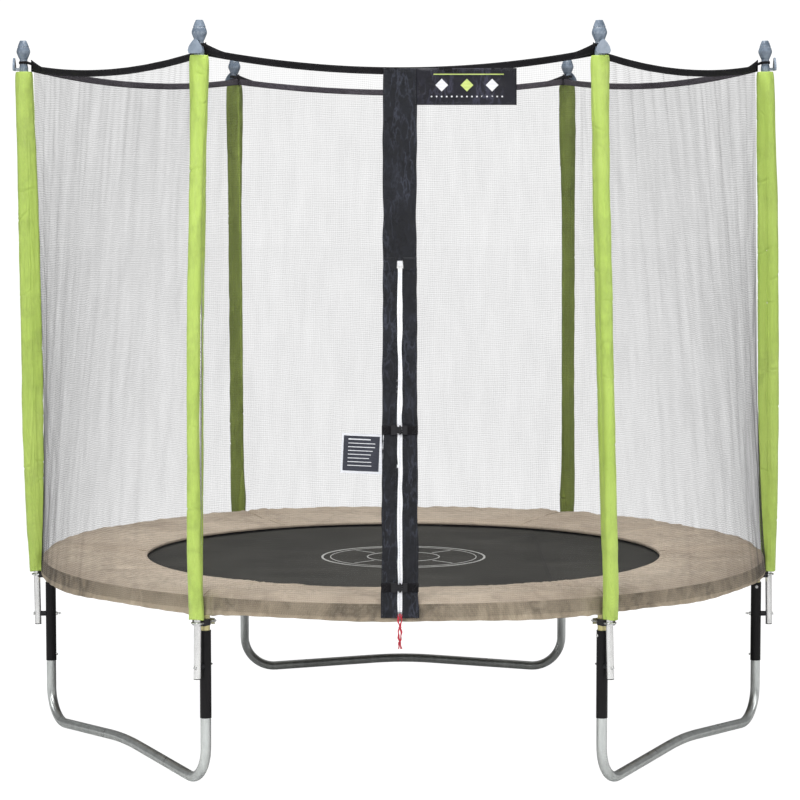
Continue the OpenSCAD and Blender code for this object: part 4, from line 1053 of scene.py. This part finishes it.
# edge band, its stitches, the seam thread and a plain ring mark
band = Heap()
rows = []
bz = MAT_Z + 0.0016 + 0.0008 * np.cos(a_ * 48)
for r in (1.0045, 1.010, 1.018, 1.026, 1.0292):
    rows.append(np.stack([r * np.cos(a_), r * np.sin(a_), bz * 1.0], 1))
Pb = np.stack(rows)
vb = np.vstack([Pb.reshape(-1, 3), (Pb[::-1] - [0, 0, 0.0016]).reshape(-1, 3)])
band.add(vb, grid_faces(10, n_a2, True, True).tolist())
ob = band.make("mat_edge_band", M["webbing"], replaces=("mat_band",), slot="black_webbing")
co = np.array([v.co for v in ob.data.vertices])
set_weights(ob, "mat", bed_weight(co))
th = Heap()
fine_a = np.linspace(0, 2 * PI, 1441)[:-1]
for r in (1.0075, 1.0255):
    p = np.stack([r * np.cos(fine_a), r * np.sin(fine_a), MAT_Z + 0.0017 + 0.0008 * np.cos(fine_a * 48)], 1)
    th.add(*stitches(p, (0, 0, 1), 0.006, 0.004, 0.0009, 0.0006, closed=True))
for dx in (-0.004, 0.004):
    y = np.linspace(-0.90, 0.90, 300)
    p = np.stack([np.full_like(y, seam_x + dx), y, np.full_like(y, MAT_Z + 0.0004)], 1)
    th.add(*stitches(p, (0, 0, 1), 0.005, 0.0034, 0.0010, 0.0006))
ob = th.make("mat_thread", M["threaddark"], slot="mat_weave")
set_weights(ob, "mat", bed_weight(np.array([v.co for v in ob.data.vertices])))
mark = Heap()
for rin, rout, parts in ((0.272, 0.279, 1), (0.246, 0.249, 1), (0.120, 0.124, 1)):
    aa = np.linspace(0, 2 * PI, 181)[:-1]
    lo = np.stack([rin * np.cos(aa), rin * np.sin(aa), np.full_like(aa, MAT_Z + 0.0008)], 1)
    hi = np.stack([rout * np.cos(aa), rout * np.sin(aa), np.full_like(aa, MAT_Z + 0.0008)], 1)
    vb = np.vstack([hi, lo, lo - [0, 0, 0.0012], hi - [0, 0, 0.0012]])
    mark.add(vb, grid_faces(4, 180, True, True).tolist())
for k in range(4):
    a = k * PI / 2 + PI / 4
    e, t_ = np.array([math.cos(a), math.sin(a), 0]), np.array([-math.sin(a), math.cos(a), 0])
    c = e * 0.185 + np.array([0, 0, MAT_Z + 0.0003])
    mark.add(*boxes(c[None], (e * 0.045)[None], (t_ * 0.0022)[None], np.array([[0, 0, 0.0005]])))
ob = mark.make("mat_ring_mark", M["matline"], slot="mat_weave", smooth_shade=False)
set_weights(ob, "mat", bed_weight(np.array([v.co for v in ob.data.vertices])))

# welded V-rings of round wire, with a webbing tab each, and the coil springs
rings, tabs, coils = Heap(), Heap(), Heap()
for k in range(48):
    a = math.radians((k + 0.5) * 7.5)
    er, et, ez = np.array([math.cos(a), math.sin(a), 0]), np.array([-math.sin(a), math.cos(a), 0]), np.array([0, 0, 1.0])

    def q(r, s, z):
        return er * r + et * s + ez * z
    zc = MAT_Z - 0.0015
    tri = [(1.0325, -0.014), (1.0325, 0.014), (1.0345, 0.0155), (1.0375, 0.0145), (1.0498, 0.0032), (1.0512, 0.0), (1.0498, -0.0032), (1.0375, -0.0145), (1.0345, -0.0155)]
    path = []
    for (r1, s1), (r2, s2) in zip(tri, tri[1:] + tri[:1]):
        for u in np.linspace(0, 1, 4)[:-1]:
            path.append(q(r1 + (r2 - r1) * u, s1 + (s2 - s1) * u, zc))
    rings.add(*sweep(np.array(path), circle(0.0015, 8), closed=True))
    # tab folded over the ring's straight side
    tr = np.linspace(0, 2 * PI, 15)[:-1]
    path = np.array([q(1.0265 + 0.0080 * math.cos(p), 0, zc + 0.0024 * math.sin(p) + 0.0004) for p in tr])
    t_, _, _ = frames(path, True, up=et)
    nn = np.cross(et, t_)
    sec = strap_section(0.022, 0.0010)
    vv = path[:, None, :] + sec[:, 0][None, :, None] * et + sec[:, 1][None, :, None] * nn[:, None, :]
    tabs.add(vv.reshape(-1, 3), grid_faces(len(path), len(sec), True, True).tolist())
    # spring: hook over the ring, close-wound coil, hook down into the rail
    turns = 36
    per = 12
    z0 = RAIL_Z + 0.002
    s = np.linspace(0, 1, turns * per + 1)
    cr = 0.0067
    coil = [q(1.0635 + 0.1010 * u, cr * math.sin(2 * PI * turns * u), z0 + cr * math.cos(2 * PI * turns * u)) for u in s]
    hook1 = [q(1.0497, 0, zc - 0.0045), q(1.0492, 0, zc - 0.0010), q(1.0496, 0, zc + 0.0028), q(1.0515, 0, zc + 0.0046), q(1.0550, 0, z0 + cr), q(1.0600, 0, z0 + cr)]
    hook2 = [q(1.1680, 0, z0 + cr), q(1.1700, 0.0, z0 + cr * 0.5), q(1.1725, 0, z0 + 0.0006), q(1.1800, 0, z0 + 0.0002), q(1.1880, 0, z0), q(1.1905, 0, z0 - 0.0016), q(1.1908, 0, z0 - 0.0060)]
    coils.add(*sweep(np.array(hook1 + coil + hook2), circle(0.00125, 6)))
ob = rings.make("v_ring_wires", M["bright"], replaces=("v_rings",), slot="bright_hardware")
set_weights(ob, "mat", bed_weight(np.array([v.co for v in ob.data.vertices])))
ob = tabs.make("v_ring_tabs", M["webbing"], slot="black_webbing")
set_weights(ob, "mat", bed_weight(np.array([v.co for v in ob.data.vertices])))
ob = coils.make("coil_springs", M["spring"], replaces=("springs",), slot="spring_steel")
set_weights(ob, "mat", bed_weight(np.array([v.co for v in ob.data.vertices])))

# ------------------------------------------------------------------ door
def crinkle(x, z, seed, k=1.0):
    p = np.stack([x, z * 0.55, 0 * x], -1)
    c = 0.00045 * wave_noise(p, 20.0, seed) + 0.00022 * wave_noise(p, 70.0, seed + 1)
    c += 0.0012 * crease(p, 13.0, seed + 2, 2.6) + 0.0008 * crease(p + 5, 24.0, seed + 3, 2.6) - 0.0006
    return c * k


def cloth_strip(name, x0, x1, z0, z1, o, th, mat, body, seed, replaces=(), slot=None, n=(18, 160), k=1.0, lift=None):
    """Cloth strip of the door: x0 and x1 may be functions of z; o is the outer face's distance from the net."""
    zz = np.linspace(z0, z1, n[1])
    S, Z = np.meshgrid(np.linspace(0, 1, n[0]), zz)
    a = np.array([x0(z) if callable(x0) else x0 for z in zz])[:, None]
    b = np.array([x1(z) if callable(x1) else x1 for z in zz])[:, None]
    X = a + (b - a) * S
    edge = smooth(np.minimum(S, 1 - S), 0, 0.10)
    O = o + crinkle(X, Z, seed, k) * (0.35 + 0.65 * edge)
    O = O + 0.0008 * np.exp(-(np.minimum(S, 1 - S) / 0.05) ** 2)
    if lift is not None:
        O = O + lift(Z)
    X = X + 0.0009 * wave_noise(np.stack([Z * 9, S, 0 * S], -1), 1.0, seed + 9) * (1 - edge)
    P = door(X, O, Z)
    v, f = sheet(P, OUT, th)
    return make(name, v, f, mat, body=body, replaces=replaces, slot=slot), P


cloth_strip("door_top_panel", lambda z: -0.0505 - 0.0006 * math.sin(z * 40), lambda z: 0.0505 + 0.0006 * math.sin(z * 33 + 1), 0.0005, 0.574, 0.0060, 0.0020, M["door"], "frame", 600, ("door_top",), "door_cloth", (34, 180),
            lift=lambda Z: 0.0012 * np.exp(-np.abs(Z - 0.002) / 0.02))
for sgn, nm in ((-1, "left"), (1, "right")):
    a_in, a_out = (0.0090, 0.0505)
    x0, x1 = (-a_out, -a_in) if sgn < 0 else (a_in, a_out)
    cloth_strip("door_top_tongue_%s" % nm, x0, x1, -0.030, 0.010, 0.0086, 0.0016, M["door"], "frame", 640 + sgn, (), "door_cloth", (12, 12), 0.5)
dth = Heap()
for x in (-0.0465, 0.0465):
    z = np.linspace(0.006, 0.570, 200)
    dth.add(*stitches(door(np.full_like(z, x), np.full_like(z, 0.0068), z), OUT, 0.005, 0.0034, 0.0008, 0.0006))
for z in (0.0055, 0.5660):
    x = np.linspace(-0.046, 0.046, 40)
    dth.add(*stitches(door(x, np.full_like(x, 0.0076 if z < 0.1 else 0.0066), np.full_like(x, z)), OUT, 0.005, 0.0034, 0.0008, 0.0006))
dth.make("door_top_thread", M["threaddark"], body="frame", slot="door_cloth")

for sgn, nm, body in ((-1, "left", "door_left"), (1, "right", "door_right")):
    z1 = -(ZIP_LEN + 0.002)
    inner = lambda z, s=sgn: s * 0.0072
    outer = lambda z, s=sgn: s * half_w(z)
    x0, x1 = (outer, inner) if sgn < 0 else (inner, outer)
    cloth_strip("door_strip_%s" % nm, x0, x1, z1, -0.0225, 0.0058, 0.0018, M["door"], body, 700 + 20 * sgn, ("door_strip_%s" % nm,), "door_cloth", (16, 260))
    h_ = Heap()
    z = np.linspace(z1 + 0.004, -0.04, 360)
    for off in (0.0035,):
        xo = sgn * (half_w(z) - off)
        h_.add(*stitches(door(xo, np.full_like(z, 0.0067), z), OUT, 0.005, 0.0034, 0.0008, 0.0006))
    h_.add(*stitches(door(np.full_like(z, sgn * 0.0120), np.full_like(z, 0.0066), z), OUT, 0.005, 0.0034, 0.0008, 0.0006))
    h_.make("door_strip_thread_%s" % nm, M["threaddark"], body=body, slot="door_cloth")
    # zip tape and its coil teeth
    za, zb = -(ZIP_LEN - 0.0045), -0.0225
    zz = np.linspace(za, zb, 200)
    xs = np.linspace(0.0004, 0.0084, 5) * sgn
    if sgn < 0:
        xs = xs[::-1]
    X, Z = np.meshgrid(xs, zz)
    O = 0.0053 + 0.00015 * np.sin(Z * 900) + 0.0002 * wave_noise(np.stack([X * 30, Z * 12, 0 * X], -1), 1.0, 777)
    h_ = Heap()
    v, f = sheet(door(X, O, Z), OUT, 0.0010)
    make("zip_tape_%s" % nm, v, f, M["zip"], body=body, replaces=("zip_half_%s" % nm,), slot="zip_white")
    zt = np.arange(za + 0.001, zb, 0.0022)
    zt = zt + (0.0011 if sgn > 0 else 0)
    c = door(np.full_like(zt, sgn * 0.00135), np.full_like(zt, 0.0060), zt)
    v, f = boxes(c, np.tile(SIDE * 0.00130, (len(c), 1)), np.tile(OUT * 0.0011, (len(c), 1)), np.tile(UP * 0.00062, (len(c), 1)))
    make("zip_teeth_%s" % nm, v, f, M["zipcoil"], body=body, slot="zip_white", smooth_shade=False)

# top stop and the fixed end of the tape
h_ = Heap()
X, Z = np.meshgrid(np.linspace(-0.0082, 0.0082, 5), np.linspace(-0.014, 0.001, 6))
h_.add(*sheet(door(X, np.full_like(X, 0.0053), Z), OUT, 0.0010))
zt = np.arange(-0.0135, -0.001, 0.0022)
for sgn in (-1, 1):
    c = door(np.full_like(zt, sgn * 0.0013), np.full_like(zt, 0.0060), zt + (0.0011 if sgn > 0 else 0))
    h_.add(*boxes(c, np.tile(SIDE * 0.0013, (len(c), 1)), np.tile(OUT * 0.0011, (len(c), 1)), np.tile(UP * 0.00062, (len(c), 1))))
h_.make("zip_top_tape", M["zip"], body="frame", replaces=("zip_top_end",), slot="zip_white", smooth_shade=False)

# webbing straps with the buckles, sewn down with a box of stitches
for s_, nm, body in ((0, "left", "door_left"), (1, "right", "door_right")):
    st, sw = Heap(), Heap()
    for hz in (1.100, 0.637):
        zc = (hz - ZIP_TOP) / math.cos(TILT)
        w = half_w(zc)
        a_, b_ = (-w - 0.001, -0.025) if s_ == 0 else (0.021, w + 0.001)
        xs = np.linspace(a_, b_, 26)
        X, Z = np.meshgrid(xs, np.linspace(-0.013, 0.013, 9) + zc)
        bow = 0.0009 * np.sin(PI * (X - a_) / (b_ - a_)) + 0.00012 * np.sin(X * 2 * PI / 0.0021)
        v, f = sheet(door(X, 0.0080 + bow, Z), OUT, 0.0015)
        st.add(v, f)
        # the turned end behind the buckle
        e0 = b_ if s_ == 0 else a_
        X, Z = np.meshgrid(np.linspace(e0 - 0.012, e0 + 0.002, 6) if s_ == 0 else np.linspace(e0 - 0.002, e0 + 0.012, 6), np.linspace(-0.0125, 0.0125, 7) + zc)
        st.add(*sheet(door(X, 0.0094 + 0 * X, Z), OUT, 0.0013))
        m0, m1 = (a_ + 0.003, a_ + 0.017) if s_ == 0 else (b_ - 0.017, b_ - 0.003)
        corner = [(m0, -0.010), (m1, -0.010), (m1, 0.010), (m0, 0.010), (m0, -0.010), (m1, 0.010)]
        for (xa, ya), (xb, yb) in zip(corner, corner[1:]):
            u = np.linspace(0, 1, 12)
            sw.add(*stitches(door(xa + (xb - xa) * u, np.full_like(u, 0.0087), zc + ya + (yb - ya) * u), OUT, 0.0034, 0.0024, 0.0007, 0.0006))
    st.make("door_strap_%s" % nm, M["webbing"], body=body, replaces=("door_straps_%s" % nm,), slot="black_webbing")
    sw.make("door_strap_thread_%s" % nm, M["threaddark"], body=body, slot="black_webbing")


# ------------------------------------------------------------------ banner and label (plain motifs)
def panel_frame(c, tilt_deg, turn_deg=0.0):
    t_ = math.radians(tilt_deg)
    up_ = np.array([0, math.sin(t_), math.cos(t_)])
    out_ = np.array([0, -math.cos(t_), math.sin(t_)])
    g = math.radians(turn_deg)
    sx = np.array([1.0, 0, 0]) * math.cos(g) - up_ * math.sin(g)
    uz = np.array([1.0, 0, 0]) * math.sin(g) + up_ * math.cos(g)
    return lambda x, o, z: np.asarray(c) + np.asarray(x)[..., None] * sx + np.asarray(o)[..., None] * out_ + np.asarray(z)[..., None] * uz, out_


bf, bo = panel_frame((0.1875, -(1.2056 * 0.024 + 1.0492 * 0.976), 2.117), 5.57)
X, Z = np.meshgrid(np.linspace(-0.153, 0.148, 60), np.linspace(-0.055, 0.055, 26))
rel = 0.0010 * wave_noise(np.stack([X * 9, Z * 9, 0 * X], -1), 1.0, 800) + 0.0006 * wave_noise(np.stack([X * 30, Z * 14, 0 * X], -1), 1.0, 801)
rel *= smooth(np.minimum(0.148 - np.abs(X), 0.055 - np.abs(Z)), 0.0, 0.01)
v, f = sheet(bf(X, 0.0050 + rel, Z), bo, 0.0012)
make("banner_panel", v, f, M["banner"], body="frame", replaces=("banner",), slot="banner_cloth")
h_ = Heap()
for ins in (0.005, 0.008):
    cs = [(-0.148 + ins, -0.055 + ins), (0.148 - ins, -0.055 + ins), (0.148 - ins, 0.055 - ins), (-0.148 + ins, 0.055 - ins), (-0.148 + ins, -0.055 + ins)]
    for (xa, za), (xb, zb) in zip(cs, cs[1:]):
        u = np.linspace(0, 1, 60)
        x_, z_ = xa + (xb - xa) * u, za + (zb - za) * u
        h_.add(*stitches(bf(x_, np.full_like(u, 0.0052), z_), bo, 0.005, 0.0034, 0.0009, 0.0006))
h_.make("banner_thread", M["threaddark"], body="frame", slot="banner_cloth")


def decal(h, fr, outv, poly, o):
    """A thin raised patch of polygon outline, as printed or appliqued cloth."""
    p = np.array(poly, float)
    n = len(p)
    hi = fr(p[:, 0], np.full(n, o), p[:, 1])
    lo = fr(p[:, 0], np.full(n, o - 0.0016), p[:, 1])
    f = [list(range(n)), [n + j for j in range(n)][::-1]] + [[(j + 1) % n, j, n + j, n + (j + 1) % n] for j in range(n)]
    h.add(np.vstack([hi, lo]), f)


g1, g2 = Heap(), Heap()
# a long bar, three lozenges and a row of dots
for k, x in enumerate((-0.075, 0.0, 0.075)):
    s_ = 0.019
    decal(g1 if k == 1 else g2, bf, bo, [(x - s_, 0.004), (x, 0.004 - s_), (x + s_, 0.004), (x, 0.004 + s_)], 0.0068)
for x in np.linspace(-0.105, 0.105, 15):
    aa = np.linspace(0, 2 * PI, 13)[:-1]
    decal(g2, bf, bo, [(x + 0.0025 * math.cos(a), -0.030 + 0.0025 * math.sin(a)) for a in aa], 0.0066)
decal(g1, bf, bo, [(-0.110, 0.035), (0.110, 0.035), (0.110, 0.038), (-0.110, 0.038)], 0.0066)
g1.make("banner_lozenge", M["motif"], body="frame", slot="banner_cloth", smooth_shade=False)
g2.make("banner_dots", M["motif2"], body="frame", slot="banner_cloth", smooth_shade=False)

zl = (1.031 - ZIP_TOP) / math.cos(TILT)
lc = door(-0.120 - DOOR_X, 0.0, zl)
lf, lo_ = panel_frame(lc, math.degrees(TILT), 2.5)
LX0, LX1, LZ0, LZ1 = -0.066, 0.058, -0.059, 0.059


def on_left(ob):
    co = np.array([v.co for v in ob.data.vertices])
    set_weights(ob, "door_left", swing_weight(co, -1))


X, Z = np.meshgrid(np.linspace(LX0, LX1, 30), np.linspace(LZ0, LZ1, 28))
v, f = sheet(lf(X, 0.0042 + 0.0005 * wave_noise(np.stack([X * 14, Z * 14, 0 * X], -1), 1.0, 810), Z), lo_, 0.0012)
ob = make("label_patch", v, f, M["label"], replaces=("label",), slot="label_cloth")
on_left(ob)
h_ = Heap()


def bar(x0, x1, z0, z1, o=0.0054):
    decal(h_, lf, lo_, [(x0, z0), (x1, z0), (x1, z1), (x0, z1)], o)


bar(LX0, LX1, LZ1 - 0.007, LZ1)
bar(LX0, LX1, LZ0, LZ0 + 0.007)
bar(LX0, LX0 + 0.006, LZ0 + 0.007, LZ1 - 0.007)
bar(LX1 - 0.011, LX1, LZ0 + 0.007, LZ1 - 0.007)
rng = np.random.default_rng(5)
for k, z in enumerate(np.linspace(0.030, -0.036, 7)):
    bar(-0.046, -0.046 + 0.062 + 0.022 * rng.random(), z - 0.0011, z + 0.0011)
bar(-0.046, 0.020, 0.040, 0.0435)
ob = h_.make("label_bars", M["labelink"], slot="label_cloth", smooth_shade=False)
on_left(ob)

# ------------------------------------------------------------------ red ribbon pull
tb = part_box("pull_tag")
ty = -(NET_R0 - (ZIP_TOP - NET_Z0) * math.tan(TILT)) - 0.0122 * math.cos(TILT) + (-(ZIP_LEN - 0.008)) * math.sin(TILT)
tz = ZIP_TOP + (-(ZIP_LEN - 0.008)) * math.cos(TILT) + 0.0122 * math.sin(TILT)
tag = Heap()
zz = np.linspace(0, 1, 90)
# one ribbon folded into a loop: its two runs twist round each other and part in between
for run in (-1, 1):
    cx = run * 0.0052 * np.abs(np.sin(PI * (0.06 + 0.94 * zz) * 2.5)) ** 0.8 * (1 - 0.35 * zz) * np.where((zz * 2.5).astype(int) % 2 > 0, -1, 1)
    width = 0.0050 + 0.0016 * np.sin(zz * 19 + run)
    rows = []
    for s_ in np.linspace(-1, 1, 7):
        x = DOOR_X + cx + s_ * width / 2 + 0.0008 * np.sin(zz * 31 + 2 * run)
        y = ty - run * 0.0011 * np.cos(zz * 15) - 0.0012 * s_ * np.sin(zz * 22 + run) - 0.0004 * s_ * s_
        rows.append(np.stack([x, y, tz + 0.002 - 0.104 * zz], 1))
    P = np.stack(rows, 1)
    tag.add(*sheet(P, (0, -1, 0), 0.0007))
# the ribbon's turn round the bail
ph = np.linspace(0, 2 * PI, 17)[:-1]
path = np.array([[DOOR_X, ty + 0.0024 * math.cos(p), tz + 0.0024 * math.sin(p)] for p in ph])
t_, _, _ = frames(path, True, up=(1, 0, 0))
sec = strap_section(0.0052, 0.0010)
nn = np.cross(np.array([1.0, 0, 0]), t_)
vv = path[:, None, :] + sec[:, 0][None, :, None] * np.array([1.0, 0, 0]) + sec[:, 1][None, :, None] * nn[:, None, :]
tag.add(vv.reshape(-1, 3), grid_faces(len(path), len(sec), True, True).tolist())
tag.make("pull_ribbon", M["red"], body="pull_tag", replaces=("pull_tag",), slot="red_ribbon")

# ------------------------------------------------------------------ weld beads where the sockets meet the rail
beads = Heap()
for i in range(6):
    a = i * PI / 3
    er, et = np.array([math.cos(a), math.sin(a), 0]), np.array([-math.sin(a), math.cos(a), 0])
    ph = np.linspace(0, 2 * PI, 97)[:-1]
    rs = 0.01425
    path = []
    for p in ph:
        dr, dt = rs * math.cos(p), rs * math.sin(p)
        path.append(er * (RAIL_R + dr) + et * dt + np.array([0, 0, RAIL_Z - math.sqrt(0.016 ** 2 - dr ** 2)]))
    path = np.array(path)
    sc = 1 + 0.22 * np.sin(ph * 26) + 0.12 * np.sin(ph * 11 + i)
    beads.add(*sweep(path, circle(0.0021, 8), closed=True, scale=sc))
beads.make("socket_weld_beads", M["yellow"], body="frame", slot="zinc_yellow")

# ------------------------------------------------------------------ stage, light and camera
sc = bpy.context.scene
m, nt = new_mat("floor_pale")
lp = N(nt, "ShaderNodeLightPath")
dif = N(nt, "ShaderNodeBsdfDiffuse", {"Color": (0.86, 0.86, 0.865, 1)})
em = N(nt, "ShaderNodeEmission", {"Color": (1, 1, 1, 1), "Strength": 1.20})
seen = N(nt, "ShaderNodeMixShader", {0: 0.86, 1: dif.outputs[0], 2: em.outputs[0]})
mx = N(nt, "ShaderNodeMixShader", {0: lp.outputs["Is Camera Ray"], 1: dif.outputs[0], 2: seen.outputs[0]})
finish_mat(nt, mx.outputs[0])
bpy.ops.mesh.primitive_plane_add(size=600, location=(0, 0, -0.0005))
floor = bpy.context.object
floor.name = "floor"
floor.data.materials.append(m)

world = bpy.data.worlds.new("studio")
sc.world = world
world.use_nodes = True
wt = world.node_tree
wt.nodes.clear()
lp = N(wt, "ShaderNodeLightPath")
tc = N(wt, "ShaderNodeTexCoord")
sep = N(wt, "ShaderNodeSeparateXYZ", {0: tc.outputs["Generated"]})
up_f = math_(wt, "MULTIPLY", math_(wt, "ADD", sep.outputs["Z"], 0.25), 0.8, True)
sky = mix_col(wt, up_f, (0.42, 0.42, 0.43, 1), (0.98, 0.98, 1.0, 1))
bg1 = N(wt, "ShaderNodeBackground", {"Color": sky, "Strength": 0.30})
bg2 = N(wt, "ShaderNodeBackground", {"Color": (1, 1, 1, 1), "Strength": 1.08})
mixw = N(wt, "ShaderNodeMixShader", {0: lp.outputs["Is Camera Ray"], 1: bg1.outputs[0], 2: bg2.outputs[0]})
N(wt, "ShaderNodeOutputWorld", {"Surface": mixw.outputs[0]})


def area(name, loc, target, size_, power, colour=(1, 1, 1)):
    d = bpy.data.lights.new(name, "AREA")
    d.shape = "RECTANGLE"
    d.size, d.size_y = size_
    d.energy = power
    d.color = colour
    o = bpy.data.objects.new(name, d)
    sc.collection.objects.link(o)
    o.location = loc
    o.rotation_euler = (Vector(target) - Vector(loc)).to_track_quat("-Z", "Y").to_euler()
    o.visible_camera = False
    return o


area("key", (-1.5, -4.2, 2.7), (0, -0.8, 1.1), (1.8, 1.8), 72)
area("fill", (2.2, -4.0, 2.2), (0, -0.8, 1.1), (1.8, 1.8), 40)
area("top", (0.0, -1.0, 6.0), (0, -0.3, 0.6), (3.0, 3.0), 260)
area("left", (-5.0, -2.0, 2.2), (0, 0, 1.0), (1.6, 2.2), 46)
area("right", (5.0, -2.0, 2.2), (0, 0, 1.0), (1.6, 2.2), 46)

cam = bpy.data.cameras.new("camera")
cam.lens = 123.0
cam.sensor_width = 36
cam.clip_end = 2000.0
cam.clip_end = 100
co_ = bpy.data.objects.new("camera", cam)
sc.collection.objects.link(co_)
co_.location = (-0.0115, -9.236, 1.789)
co_.rotation_euler = (math.radians(90 - 4.243), 0, 0)
sc.camera = co_
sc.view_settings.view_transform = "Standard"
